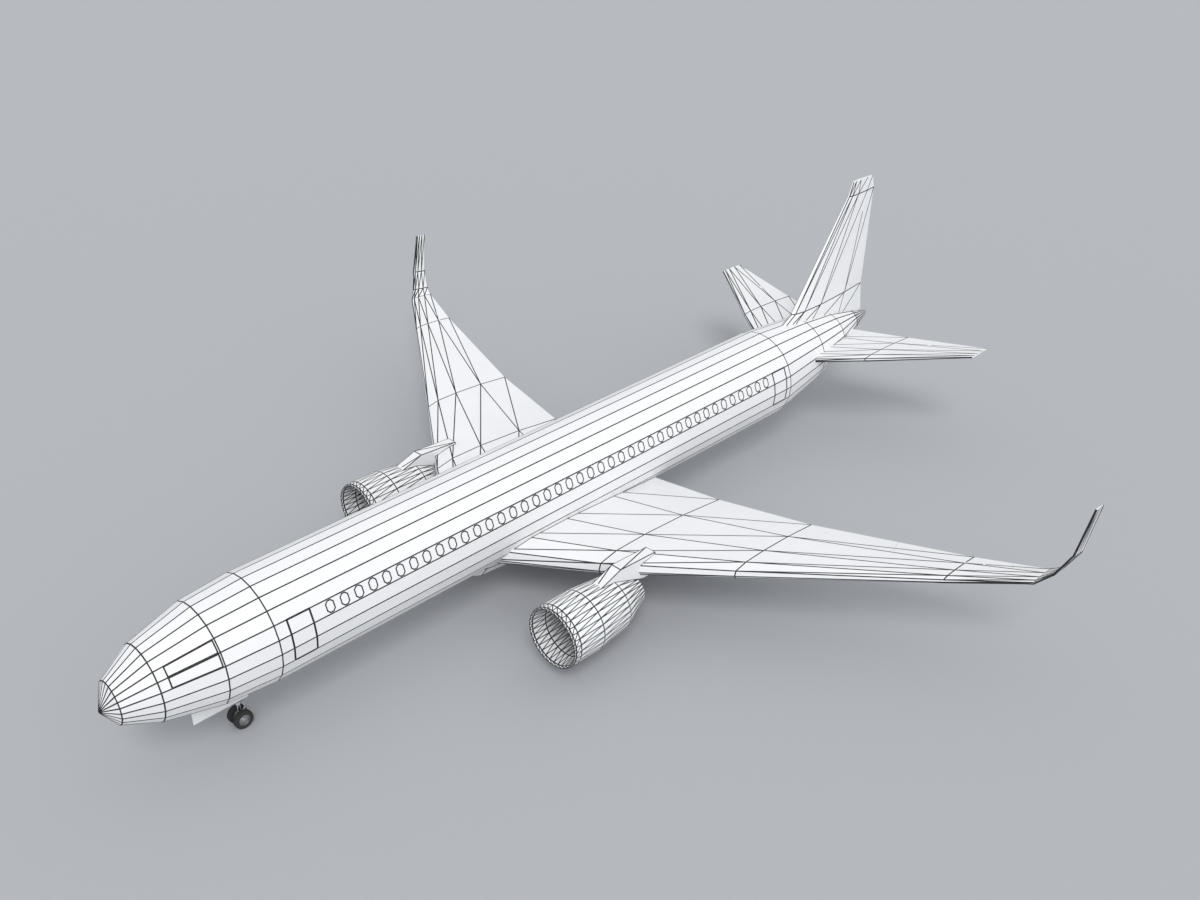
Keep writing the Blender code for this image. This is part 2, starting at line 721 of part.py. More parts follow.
def make_fan(side, label):
    """Hub, blades and spinner in one piece, with its origin on the engine's axis."""
    x, _, z = engine_centre(side)
    pitch = 2 * math.pi / BLADE_COUNT
    rings = []
    for share in (0.0, 1.0):
        twist = math.radians(BLADE_TWIST) * (share - 0.5)
        ring = []
        for i in range(BLADE_COUNT):
            for across, radius in BLADE_CORNERS:
                angle = (i + across) * pitch + twist
                ring.append((radius * math.cos(angle), FAN_DEPTH * share, radius * math.sin(angle)))
        rings.append(ring)
    fan = loft("fan_" + label, rings, METAL)
    spinner = turned("spinner", SPINNER_PROFILE, (0, 0, 0), "Y", WHEEL_STEPS, group=CUTTERS)
    boolean(fan, spinner, "UNION")
    one_material(fan, METAL)
    shade_round(fan)
    fan.location = (x, aft(FAN_STATION), z)


def make_pylon(side, label):
    """Flat-sided strut that wraps round the wing's leading edge."""
    rings = []
    for edge in (-PYLON_WIDTH / 2, PYLON_WIDTH / 2):
        rings.append([(side * ENGINE_OUT + edge, aft(s), up(h)) for s, h in PYLON_OUTLINE])
    pylon = loft("pylon_" + label, rings, WHITE)
    boolean(pylon, loft("wing_cutter", [wing_ring(side, s, grow=GAP) for s in WING_SECTIONS], group=CUTTERS))
    front, rear = NACELLE_OUTER[0][1], NACELLE_OUTER[-1][1]
    outer = [(radius + GAP, station) for radius, station in NACELLE_OUTER]
    hull = turned(
        "nacelle_cutter", [(0.0, front - GAP)] + outer + [(0.0, rear + GAP)],
        engine_centre(side), "Y", NACELLE_STEPS, group=CUTTERS,
    )
    boolean(pylon, hull)
    one_material(pylon, WHITE)


def make_tyre(name, size, rim_radius, centre):
    radius, width = size
    half = width / 2
    tread = [(radius * 0.80, half), (radius * 0.94, half * 0.86), (radius, half * 0.55)]
    profile = [(rim_radius, half * 0.86)] + tread
    profile += [(r, -x) for r, x in reversed(tread)] + [(rim_radius, -half * 0.86)]
    tyre = turned(name, profile, centre, "X", WHEEL_STEPS, RUBBER, closed=True)
    shade_round(tyre)
    set_origin(tyre, centre)


def make_rim(name, size, rim_radius, centre):
    half = size[1] / 2 * RIM_SHARE
    bore = AXLE_RADIUS + WHEEL_BORE_GAP
    hub, outer = bore + RIM_HUB, rim_radius - GAP
    inner_depth, outer_depth = (half * share for share in RIM_DISH)
    dish = [(bore, half), (hub, half), (hub + RIM_STEP, inner_depth), (outer - 1.5 * RIM_STEP, outer_depth)]
    edge = [(outer - RIM_STEP, half), (outer, half)]
    profile = dish + edge + [(r, -x) for r, x in reversed(dish + edge)]
    rim = turned(name, profile, centre, "X", WHEEL_STEPS, METAL, closed=True)
    shade_round(rim)
    set_origin(rim, centre)


def make_wheels(label, x, y, offset, size, rim_radius):
    """Two wheels on one axle."""
    for place, sign in (("right", -1), ("left", 1)):
        centre = (x + sign * offset, y, axle_height(size))
        make_tyre("tyre_" + label + "_" + place, size, rim_radius, centre)
        make_rim("rim_" + label + "_" + place, size, rim_radius, centre)


def torque_links(leg, x, y, axle, sizes):
    """Two links behind a strut that meet at a knee."""
    low, high, reach, radius = sizes
    knee = (x, y + reach, axle + (low + high) / 2)
    for height in (low, high):
        link = place_cylinder("link", (x, y, axle + height), knee, radius, group=CUTTERS, sides=LINK_SIDES)
        boolean(leg, link, "UNION")


def make_main_leg(side, label):
    """Shock strut with its axle, torque links, and a brace up to the root of the wing."""
    x, y, z = side * MAIN_OUT, aft(MAIN_STATION), axle_height(MAIN_TYRE)
    top = up(skin_height(WING_SECTIONS, MAIN_OUT, MAIN_STATION, LOWER_SKIN)) + MAIN_LEG_TOP
    bottom = z - MAIN_LEG_BOTTOM
    leg = place_cylinder("main_gear_leg_" + label, (x, y, bottom), (x, y, top), MAIN_LEG_RADIUS, METAL)
    reach = MAIN_WHEEL_OFFSET + MAIN_TYRE[1] / 2
    axle = place_cylinder(
        "axle", (x - reach, y, z), (x + reach, y, z), AXLE_RADIUS, group=CUTTERS, sides=WHEEL_STEPS
    )
    boolean(leg, axle, "UNION")
    brace_y = y + MAIN_BRACE_SHIFT
    foot = (x - side * MAIN_BRACE_INSET, brace_y, z + MAIN_BRACE_FOOT)
    head = (side * MAIN_BRACE_HEAD[0], brace_y, up(MAIN_BRACE_HEAD[1]))
    brace = place_cylinder("brace", foot, head, MAIN_BRACE_RADIUS, group=CUTTERS, sides=BRACE_SIDES)
    boolean(leg, brace, "UNION")
    torque_links(leg, x, y - MAIN_LINK_SHIFT, z, MAIN_LINKS)
    one_material(leg, METAL)
    shade_round(leg)
    leg_cutter = place_cylinder(
        "leg_cutter", (x, y, z), (x, y, top + SOCKET_GAP), MAIN_LEG_RADIUS + SOCKET_GAP, group=CUTTERS
    )
    brace_cutter = place_cylinder(
        "brace_cutter", foot, head, MAIN_BRACE_RADIUS + SOCKET_GAP, group=CUTTERS, sides=BRACE_SIDES
    )
    make_wheels("main_" + label, x, y, MAIN_WHEEL_OFFSET, MAIN_TYRE, MAIN_RIM_RADIUS)
    return leg_cutter, brace_cutter


def make_main_door(side, label, cutters):
    """Plate on the outboard side of a main leg, on two brackets."""
    x, y, low = MAIN_OUT + MAIN_DOOR_OFFSET, aft(MAIN_STATION), up(MAIN_DOOR_BOTTOM)
    half = MAIN_DOOR_HALF_LENGTH
    far_corner = (x + DOOR_PLATE, y + half, low + MAIN_DOOR_HEIGHT)
    door = side_box("main_gear_door_" + label, side, (x, y - half, low), far_corner, WHITE)
    for height in MAIN_DOOR_BRACKETS:
        start = (side * MAIN_OUT, y + BRACKET_SHIFT, low + height)
        end = (side * (x + DOOR_PLATE / 2), y + BRACKET_SHIFT, low + height)
        bracket = place_cylinder("bracket", start, end, BRACKET_RADIUS, group=CUTTERS, sides=LINK_SIDES)
        boolean(door, bracket, "UNION")
    for cutter in cutters:
        boolean(door, cutter)
    one_material(door, WHITE)


def make_nose_gear():
    """Fixed upper strut with its brace, and the steered lower strut with its axle and links."""
    y, z = aft(NOSE_STATION), axle_height(NOSE_TYRE)
    joint = z + NOSE_STRUT_LENGTH
    top = up(BAY_ROOF) + MAIN_LEG_TOP
    leg = place_cylinder("nose_gear_leg", (0, y, joint + GAP), (0, y, top), NOSE_LEG_RADIUS, METAL)
    foot = (NOSE_BRACE_SHIFT, y, joint + NOSE_BRACE_FOOT)
    head = (NOSE_BRACE_SHIFT, aft(NOSE_BRACE_HEAD), top)
    brace = place_cylinder("nose_brace", foot, head, NOSE_BRACE_RADIUS, group=CUTTERS, sides=BRACE_SIDES)
    boolean(leg, brace, "UNION")
    one_material(leg, METAL)
    shade_round(leg)
    strut = NOSE_LEG_RADIUS * NOSE_STRUT_SHARE
    steer = place_cylinder("nose_gear_steering", (0, y, z - AXLE_RADIUS), (0, y, joint), strut, METAL)
    reach = NOSE_WHEEL_OFFSET + NOSE_TYRE[1] / 2
    axle = place_cylinder(
        "nose_axle", (-reach, y, z), (reach, y, z), AXLE_RADIUS, group=CUTTERS, sides=WHEEL_STEPS
    )
    boolean(steer, axle, "UNION")
    torque_links(steer, NOSE_LINK_SHIFT, y, z, NOSE_LINKS)
    one_material(steer, METAL)
    shade_round(steer)
    set_origin(steer, (0, y, joint))
    leg_cutter = place_cylinder(
        "nose_leg_cutter", (0, y, joint), (0, y, top + SOCKET_GAP), NOSE_LEG_RADIUS + SOCKET_GAP, group=CUTTERS
    )
    brace_cutter = place_cylinder(
        "nose_brace_cutter", foot, head, NOSE_BRACE_RADIUS + SOCKET_GAP, group=CUTTERS, sides=BRACE_SIDES
    )
    make_wheels("nose", 0.0, y, NOSE_WHEEL_OFFSET, NOSE_TYRE, NOSE_RIM_RADIUS)
    return leg_cutter, brace_cutter


def cut_nose_bay(fuselage, cutters):
    """Wheel bay in the body, and the sockets of the nose gear in its roof."""
    front, rear = (aft(station) for station in BAY_STATIONS)
    bay = place_box(
        "nose_bay", (-BAY_HALF_WIDTH, front, 0.0), (BAY_HALF_WIDTH, rear, up(BAY_ROOF)),
        group=CUTTERS,
    )
    boolean(fuselage, bay)
    for cutter in cutters:
        boolean(fuselage, cutter)


def make_nose_doors(envelope):
    """Two plates that hang open along the nose bay."""
    front, rear = (aft(station) for station in NOSE_DOOR_STATIONS)
    for side, label in ((1, "port"), (-1, "starboard")):
        inner = BAY_HALF_WIDTH + DOOR_INSET
        door = side_box(
            "nose_gear_door_" + label, side, (inner, front, up(NOSE_DOOR_BOTTOM)),
            (inner + DOOR_PLATE, rear, up(BAY_ROOF)), WHITE,
        )
        boolean(door, envelope)
        one_material(door, WHITE)


def make_fairing(envelope, cutters):
    """Belly fairing between the wing roots."""
    rings = []
    for station, half, depth in FAIRING_SECTIONS:
        port = [(half * 0.7, depth), (half, depth + FAIRING_SIDE), (half, FAIRING_TOP)]
        outline = [(-x, z) for x, z in reversed(port)] + port
        rings.append([(x, aft(station), up(z)) for x, z in outline])
    fairing = loft("belly_fairing", rings, WHITE)
    boolean(fairing, envelope)
    for cutter in cutters:
        boolean(fairing, cutter)
    one_material(fairing, WHITE)


def build():
    fuselage, envelope = make_body()
    whole = copy_of(fuselage, "whole_body")
    make_doors(fuselage, whole)
    make_panes(fuselage, whole)
    bpy.data.objects.remove(whole, do_unlink=True)
    cut_nose_bay(fuselage, make_nose_gear())
    make_nose_doors(envelope)
    jack_pad(fuselage, 1, NOSE_JACK, -BODY_HALF_HEIGHT)
    fairing_cutters = []
    for side, label in ((1, "port"), (-1, "starboard")):
        leg_cutter, brace_cutter = make_main_leg(side, label)
        make_wing(side, label, envelope, leg_cutter)
        root = [wing_ring(side, section, grow=GAP) for section in WING_SECTIONS[:3]]
        wing_cutter = loft("root_cutter", root, group=CUTTERS)
        make_main_door(side, label, (leg_cutter, wing_cutter))
        fairing_cutters += [wing_cutter, brace_cutter]
        make_winglet(side, label)
        make_stabilizer(side, label, envelope)
        make_nacelle(side, label)
        make_core(side, label)
        make_fan(side, label)
        make_pylon(side, label)
    make_fin(envelope)
    make_fairing(envelope, fairing_cutters)


build()
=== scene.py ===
"""Looks of the low-polygon airliner: white paint with dark edge lines, windows, engines and landing gear.

Metres, +Z up, nose towards -Y and port side at +X, as in the frame.
"""

import json
import math

import bmesh
import bpy
from mathutils import Matrix, Vector
from mathutils.bvhtree import BVHTree

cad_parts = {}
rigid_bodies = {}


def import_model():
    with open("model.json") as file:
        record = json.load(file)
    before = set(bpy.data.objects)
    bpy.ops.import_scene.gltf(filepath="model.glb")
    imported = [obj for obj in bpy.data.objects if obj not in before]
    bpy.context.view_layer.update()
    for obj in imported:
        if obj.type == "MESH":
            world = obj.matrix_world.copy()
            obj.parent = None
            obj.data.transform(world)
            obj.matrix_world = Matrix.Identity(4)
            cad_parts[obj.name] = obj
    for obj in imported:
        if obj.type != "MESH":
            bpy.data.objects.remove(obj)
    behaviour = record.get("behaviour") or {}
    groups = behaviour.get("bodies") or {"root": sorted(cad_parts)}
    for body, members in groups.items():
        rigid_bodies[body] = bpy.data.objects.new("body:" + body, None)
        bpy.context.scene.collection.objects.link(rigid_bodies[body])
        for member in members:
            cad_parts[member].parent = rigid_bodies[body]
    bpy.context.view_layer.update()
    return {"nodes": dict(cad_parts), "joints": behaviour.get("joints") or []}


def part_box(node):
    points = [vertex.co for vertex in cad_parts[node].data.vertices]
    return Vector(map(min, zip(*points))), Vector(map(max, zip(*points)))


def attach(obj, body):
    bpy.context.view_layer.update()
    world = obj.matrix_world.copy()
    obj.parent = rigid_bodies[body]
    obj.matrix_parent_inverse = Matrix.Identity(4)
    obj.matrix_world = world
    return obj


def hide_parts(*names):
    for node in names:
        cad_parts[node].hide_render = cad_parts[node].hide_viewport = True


for old in list(bpy.data.objects):
    bpy.data.objects.remove(old, do_unlink=True)
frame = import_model()
BOXES = {name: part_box(name) for name in frame["nodes"]}

SIDES = ((1, "port"), (-1, "starboard"))
DOORS = ["door_" + place + "_" + label for place in ("forward", "aft") for _, label in SIDES]
PANES = ["pane_" + place + "_" + label for place in ("front", "side") for _, label in SIDES]

TO_PORT, TO_TAIL, UPWARD = Vector((1.0, 0.0, 0.0)), Vector((0.0, 1.0, 0.0)), Vector((0.0, 0.0, 1.0))

# The photo's view, solved from the drawn edges
CAMERA_PLACE = (30.470, -29.047, 28.522)
CAMERA_ELEVATION, CAMERA_AZIMUTH = 30.0, 45.0
CAMERA_LENS, CAMERA_SENSOR, CAMERA_REACH = 37.185, 36.0, 2000.0

# Lights: where each sun shines to, its strength and its spread in degrees
KEY_SUN = ((-0.50, 0.42, -0.76), 1.24, 22.0)
FILL_SUN = ((-0.90, 0.10, -0.30), 0.52, 60.0)
SKY_COLOR, SKY_STRENGTH = (0.95, 0.97, 1.0), 0.74
FLOOR_SIZE, FLOOR_COLOR, FLOOR_ROUGHNESS = 900.0, (0.43, 0.44, 0.46), 0.85

# The body, from the frame's box and its known form
BODY_SIDES = 24
BODY_HALF_HEIGHT = 1.970
BODY_HALF_WIDTH = BOXES["fuselage"][1].x
BODY_AXIS = BOXES["fuselage"][1].z - BODY_HALF_HEIGHT
NOSE_Y = BOXES["radome"][0].y

# Edge lines: width, how far they stand proud and reach into the skin, and the angles of edges that have one
WELD = 0.0001
LINE_WIDTH = 0.046
LINE_RISE, LINE_SINK = 0.002, 0.001
DOOR_LINE, PANE_LINE = 0.068, 0.050
NACELLE_LINE = 0.033
BODY_ANGLES = (2.5, 60.0)
SURFACE_ANGLES, MOVING_ANGLES = (0.03, 72.0), (0.08, 72.0)
PYLON_ANGLES = (5.0, 120.0)
NACELLE_ANGLES = (0.0, 120.0)
# At the tips of the body a line takes this share of the room between two lines, and is at most this wide
TIP_LINES = {"radome": (0.46, LINE_WIDTH), "tail_cone": (0.55, 0.09)}
SKIN_FACING, PANEL_FACING = 0.3, 0.85
# Room about each hinge that no line enters: the fixed part's, then the moving part's
HINGE_ROOM = {"aileron": (0.13, 0.10), "elevator": (0.11, 0.08), "rudder": (0.15, 0.12)}
# A face of the nacelle looks inward when its normal points to the engine's axis by this much
DUCT_FACING = 0.2
# The last ring of the duct that has a line lies up to this far behind the front of the fan
DUCT_RING_ROOM = 0.40
REAR_RADIUS, REAR_DEPTH = 0.575, 0.01
RING_FLATNESS = 0.001
# The jacking pads have no lines: edges of the wings that are shorter than this are left out
SHORTEST_LINE = 0.10
# Lines that cross flat faces are laid on them from this far off, in this many steps
SKIN_REACH, SKIN_STEPS, SKIN_SQUARE = 6.0, 60, 0.9
# The fin's levels: height above the body's axis, and stations of the leading and trailing edge
FIN_LEVELS = ((0.735, 30.78, 39.08), (2.18, 33.44, 38.87), (6.85, 37.04, 39.06), (7.48, 37.31, 38.90))
FIN_SHARES = (0.0, 0.03, 0.133, 0.35, 0.72, 1.0)
# The pylon's flat faces are crossed from one of these points to the next: distance out, and station
PYLON_CROSSINGS = (((5.875, 16.32), (5.425, 18.10)), ((5.425, 16.32), (5.62, 15.46)))

# Cabin windows: stations of the first and the last, how many, and their size
WINDOW_FIRST, WINDOW_LAST, WINDOW_COUNT = 7.172, 29.529, 41
WINDOW_CORNER = 4
WINDOW_WIDTH, WINDOW_HEIGHT = 0.335, 0.45
WINDOW_CUT = 0.30
WINDOW_RIM = 0.047
WINDOW_PANE_RISE = 0.0008

# Engines
ENGINE_OUT, _, ENGINE_AXIS = sum(BOXES["nacelle_port"], Vector()) / 2
FAN_FRONT, FAN_REAR = BOXES["fan_port"][0].y, BOXES["fan_port"][1].y
BLADE_COUNT, BLADE_SECTIONS = 24, 7
HUB_RADIUS, TIP_RADIUS = 0.325, 0.955
HUB_STAGGER, TIP_STAGGER = 24.0, 58.0
HUB_CHORD, TIP_CHORD = 0.20, 0.30
HUB_THICKNESS, TIP_THICKNESS = 0.022, 0.008
BLADE_CAMBER = 0.10
BLADE_REACH = 0.108
BLADE_SHAPE = (
    (-0.5, 0.0), (-0.25, 0.8), (0.0, 1.0), (0.25, 0.8), (0.5, 0.0), (0.25, -0.8), (0.0, -1.0), (-0.25, -0.8),
)
BLADE_CENTRE = 0.19
FAN_STEPS = 64
SPINNER_RINGS, SPINNER_POWER = 10, 0.62
SPINNER_SIZE, SPINNER_REAR = 1.02, 0.10
GUIDE_COUNT, GUIDE_START = 36, 0.06
GUIDE_RADII = (0.30, 0.985)
# Section of a guide vane: distance aft and across
GUIDE_SHAPE = ((0.0, 0.05), (0.10, 0.012), (0.22, 0.0), (0.10, -0.004), (0.0, 0.038))

# Wheels
WHEEL_STEPS, ROUND_STEPS, BOLT_SIDES = 96, 40, 6
TYRE_SEAT = 0.0005
GROOVE_DEPTH, GROOVE_WIDTH = 0.01, 0.012
GROOVES = (-0.42, -0.14, 0.14, 0.42)
# Section of a groove: shares of its half width and of its depth
GROOVE_SHAPE = ((-1.0, 0.0), (-0.7, 1.0), (0.7, 1.0), (1.0, 0.0))
TREAD_DROP = 0.008
# Side of a tyre from the rim to the tread: share of its height, and of its half width
TYRE_SIDE = (
    (0.0, 0.84), (0.14, 0.93), (0.35, 0.99), (0.52, 1.0),
    (0.7, 0.965), (0.84, 0.88), (0.93, 0.76), (0.97, 0.66),
)
# Studs on a rim's dish: how many, their turn, their circle and radius as shares of the rim's radius, how
# deep they start, how far they stand out, and their sides
DISH_SHARE = 0.5
BOLTS = (12, 0.5, 0.66, 0.055, 0.01, 0.026, BOLT_SIDES)
WASHERS = (12, 0.5, 0.66, 0.0825, 0.01, 0.016, 16)
VENTS = (12, 0.0, 0.48, 0.085, 0.02, 0.012, 20)
# Hub cap of a rim of this radius: radius, and distance past the rim's edge
CAP_RIM = 0.3
HUB_CAP = ((0.0, -0.012), (0.105, -0.012), (0.105, 0.01), (0.094, 0.024), (0.06, 0.032), (0.0, 0.034))
# Lip of a flange: distance past the rim's radius, and past its edge
RIM_LIP = (
    (-0.004, -0.02), (0.006, -0.006), (0.006, 0.004),
    (-0.002, 0.008), (-0.012, 0.006), (-0.016, -0.02),
)

# Legs. A profile is (radius, height or distance out), and a bar is radius, end radius, reach and bevel.
# A pin of the links: how far it passes a link, and its radius as a share of the link's thickness.
ROOT_PIN, KNEE_PIN = (0.02, 0.42), (0.025, 0.46)
CHEEK_SIDES = 24

# Main legs: heights above the axle, and of the cylinder and clips above the gland
GLAND_HEIGHT = 0.62
MAIN_LEG_RADIUS, MAIN_PISTON = 0.115, (0.085, 0.12)
MAIN_CYLINDER = (
    (0.0, -0.02), (0.094, -0.02), (0.112, -0.008), (0.126, -0.008), (0.126, 0.052), (0.119, 0.06),
    (0.119, 0.075), (0.111, 0.085), (0.111, 0.34), (0.122, 0.35), (0.122, 0.4), (MAIN_LEG_RADIUS, 0.41),
)
MAIN_FORK = (
    (0.0, -0.08), (0.07, -0.08), (0.094, -0.06), (0.1, -0.02), (0.1, 0.07), (0.108, 0.085),
    (0.108, 0.125), (0.09, 0.14), (0.0, 0.14),
)
MAIN_BOSS, MAIN_AXLE = (0.086, 0.07, 0.116, 0.012), (0.055, 0.044, 0.6, 0.012)
# Torque links. Root: distance back, width, thickness. Knee: distance back, height, width, thickness.
# Lug: half width, its two ends behind the leg, half height.
MAIN_LINKS = {
    "root": (0.135, 0.17, 0.05), "knee": (0.335, 0.4, 0.075, 0.04), "lug": (0.04, 0.05, 0.16, 0.03),
}
MAIN_LINK_FOOT, MAIN_LINK_HEAD = 0.13, 0.02
# Folding braces. Shares of the length at which the rods start or end and the brace folds; collars as shares
# and radii; pins as half length and radius, after their distance across or along.
MAIN_BRACE = {
    "radius": 0.044, "rods": (0.06, 0.47, 0.57), "fold": 0.52,
    "collars": ((0.45, 0.52, 0.04928, 0.0352), (0.52, 0.59, 0.04928, 0.0352)),
    "pin": (0.062, 0.026), "cheek": (0.042, 0.011, 0.055), "foot": (0.085, 0.075, 0.024),
}
# Side brace: its foot inboard, behind and above the axle, its head out and below the body's axis, and its lug
BRACE_FOOT, BRACE_HEAD = (0.02, 0.013, 0.75), (1.12, 1.96)
BRACE_LUG_OUT, BRACE_LUG = 0.105, ((-0.035, -0.045, -0.03), (0.035, 0.07, 0.09))
# Brakes, measured out from the leg
BRAKE_RADII, BRAKE_STACK, BRAKE_END = (0.132, 0.222), 0.2, 0.322
BRAKE_DISCS, DISC_SHARE, DISC_STEP = 5, 0.72, 0.012
BRAKE_SLEEVE = ((0.102, 0.155), (0.132, 0.155), (0.132, 0.312), (0.102, BRAKE_END))
BRAKE_PLATE = ((0.06, 0.118), (0.132, 0.118), (0.192, 0.15), (0.222, 0.165), (0.222, 0.196), (0.06, 0.196))
# Pistons of a brake and their nuts: both ends, both radii and sides
BRAKE_PISTONS, PISTON_CIRCLE = 7, 0.182
PISTON_PARTS = ((0.122, 0.17, 0.031, 0.034, 24), (0.114, 0.13, 0.016, 0.016, BOLT_SIDES))
# Hoses: distances out, behind and above the axle. Their top end is measured down from the leg's top.
HOSE_RADIUS, HOSE_TOP = 0.0085, (0.045, -0.128, 0.32)
HOSE_ROUTE = (
    (0.045, -0.131, 0.92), (0.045, -0.135, 0.7), (0.075, -0.195, 0.48),
    (0.11, -0.205, 0.3), (0.13, -0.15, 0.2), (0.14, -0.075, 0.165),
)
CLIP_HEIGHTS, CLIP_BOX = (0.16, 0.46, 0.76), ((-0.065, -0.145, -0.011), (0.065, -0.1, 0.011))
# Ribs of a main gear door, upright and across: their half width and depths, and where they lie
DOOR_SKIN, RIB_HALF, RIB_SINK = 0.03, 0.012, 0.002
RIB_DEPTH, RIB_EDGE, RIB_TOP = 0.022, 0.05, 1.02
CROSS_DEPTH, CROSS_EDGE, CROSS_INSET, CROSS_SHIFT = 0.018, 0.06, 0.02, 0.06

# Nose leg: heights above the axle, and of the cylinder, jacks and lamps above the steering joint
NOSE_LEG_RADIUS, NOSE_PISTON = 0.085, (0.066, 0.09)
NOSE_CYLINDER = (
    (0.0, 0.0), (0.098, 0.0), (0.104, 0.008), (0.104, 0.05), (0.092, 0.058), (0.081, 0.066),
    (0.081, 0.48), (0.093, 0.49), (0.093, 0.53), (NOSE_LEG_RADIUS, 0.54),
)
NOSE_FORK = (
    (0.0, -0.055), (0.048, -0.055), (0.066, -0.035), (0.068, 0.05), (0.076, 0.062), (0.076, 0.095),
    (0.06, 0.105), (0.0, 0.105),
)
NOSE_COLLAR = ((0.0, -0.07), (0.08, -0.07), (0.088, -0.062), (0.088, -0.008), (0.08, 0.0), (0.0, 0.0))
NOSE_AXLE = (0.055, 0.044, 0.29, 0.01)
NOSE_LINKS = {
    "root": (0.095, 0.11, 0.034), "knee": (0.235, 0.32, 0.055, 0.028), "lug": (0.026, 0.04, 0.11, 0.02),
}
NOSE_LINK_FOOT, NOSE_GLAND_DROP = 0.1, 0.04
DRAG_BRACE = {
    "radius": 0.034, "rods": (0.05, 0.46, 0.54), "fold": 0.5,
    "collars": ((0.44, 0.5, 0.04, 0.028), (0.5, 0.56, 0.028, 0.04)),
    "pin": (0.052, 0.02), "cheek": (0.034, 0.009, 0.044), "foot": (0.11, 0.062, 0.019),
}
DRAG_SHIFT, DRAG_FOOT, DRAG_HEAD_STATION = 0.011, 0.84, 2.95
# Steering jacks: place, roots, ends of barrel and rod, and radii of barrel, rod and trunnion
JACK_OUT, JACK_UP, JACK_ROOT = 0.128, 0.115, 0.06
JACK_ENDS, JACK_RADII = (-0.1, 0.1, 0.17), (0.026, 0.012, 0.02)
# Lamps: place across, height and radius; then profiles of (share of the radius, distance back)
LAMPS = ((0.115, 0.33, 0.075), (-0.115, 0.33, 0.075), (0.0, 0.2, 0.055))
LAMP_SHELL = (
    (0.0, 0.085), (0.45, 0.08), (0.85, 0.045), (1.0, 0.0), (1.0, -0.018), (0.93, -0.018), (0.9, 0.0),
    (0.0, 0.01),
)
LAMP_LENS = ((0.0, -0.016), (0.6, -0.012), (0.9, -0.004), (0.9, 0.0), (0.0, 0.01))
LAMP_FORWARD, LAMP_ARM, LAMP_BAR = 0.145, 0.016, (0.115, -0.085, 0.31, 0.014)
TOW_EYE, TOW_PIN = ((-0.022, -0.125, -0.022), (0.022, -0.05, 0.022)), (-0.105, 0.048, 0.014)

# Nose wheel bay: stations of its ends, half width, and its roof below the body's axis
BAY_FRONT, BAY_REAR, BAY_HALF, BAY_ROOF = 2.55, 4.62, 0.27, 1.35
BAY_GAP = 0.001
FRAME_COUNT, FRAME_EDGE, FRAME_HALF, FRAME_DEPTH, FRAME_DROP = 8, 0.1, 0.008, 0.035, 0.36
STRINGER_DROPS, STRINGER_EDGE, STRINGER_HALF, STRINGER_DEPTH = (0.12, 0.26), 0.02, 0.01, 0.018
BAY_PIPES, PIPE_OUT, PIPE_STEPS = ((1, 0.012), (-1, 0.009)), 0.165, (0.0, 0.035)
PIPE_EDGE, PIPE_DROP, PIPE_SAG = 0.04, 0.05, 0.005
ARM_SHARES, ARM_RADIUS, ARM_FOOT = (0.18, 0.5, 0.82), 0.014, 2.02


def aft(station):
    """Y of a station behind the tip of the nose."""
    return NOSE_Y + station


def between(start, end, share):
    """Value at a share of the way from one to another."""
    return start + (end - start) * share


def centre_of(node):
    low, high = BOXES[node]
    return (low + high) / 2


# Materials


def new_material(name, color, roughness, metallic=0.0):
    material = bpy.data.materials.new(name)
    material.use_nodes = True
    shader = material.node_tree.nodes["Principled BSDF"]
    shader.inputs["Base Color"].default_value = (*color, 1.0)
    shader.inputs["Roughness"].default_value = roughness
    shader.inputs["Metallic"].default_value = metallic
    return material, shader


def add_node(other, kind):
    """New node in the tree of another node or socket."""
    return other.id_data.nodes.new(kind)


def join(source, target):
    source.id_data.links.new(source, target)


def placed_noise(shader, scale, detail, stretch=(1.0, 1.0, 1.0)):
    """Noise in the piece's own coordinates, stretched along its axes."""
    place = add_node(shader, "ShaderNodeTexCoord")
    mapping = add_node(shader, "ShaderNodeMapping")
    mapping.inputs["Scale"].default_value = stretch
    noise = add_node(shader, "ShaderNodeTexNoise")
    noise.inputs["Scale"].default_value = scale
    noise.inputs["Detail"].default_value = detail
    join(place.outputs["Object"], mapping.inputs["Vector"])
    join(mapping.outputs["Vector"], noise.inputs["Vector"])
    return noise.outputs["Fac"]


def as_color(value):
    if isinstance(value, (int, float)):
        return (value, value, value, 1.0)
    return (*value, 1.0)


def ramp(source, low, high, low_value, high_value):
    """Map a value between two stops to two greys or two colours."""
    node = add_node(source, "ShaderNodeValToRGB")
    first, last = node.color_ramp.elements
    first.position, last.position = low, high
    first.color = as_color(low_value)
    last.color = as_color(high_value)
    join(source, node.inputs["Fac"])
    return node.outputs["Color"]


def blend_colors(share, first, second):
    """Mix two colours by a socket's value, each a socket or a plain colour."""
    mix = add_node(share, "ShaderNodeMix")
    mix.data_type = "RGBA"
    for socket, value in ((mix.inputs[6], first), (mix.inputs[7], second)):
        if isinstance(value, bpy.types.NodeSocket):
            join(value, socket)
        else:
            socket.default_value = as_color(value)
    join(share, mix.inputs[0])
    return mix.outputs[2]


def add_bump(shader, source, strength, distance):
    bump = add_node(shader, "ShaderNodeBump")
    bump.inputs["Strength"].default_value = strength
    bump.inputs["Distance"].default_value = distance
    join(source, bump.inputs["Height"])
    join(bump.outputs["Normal"], shader.inputs["Normal"])


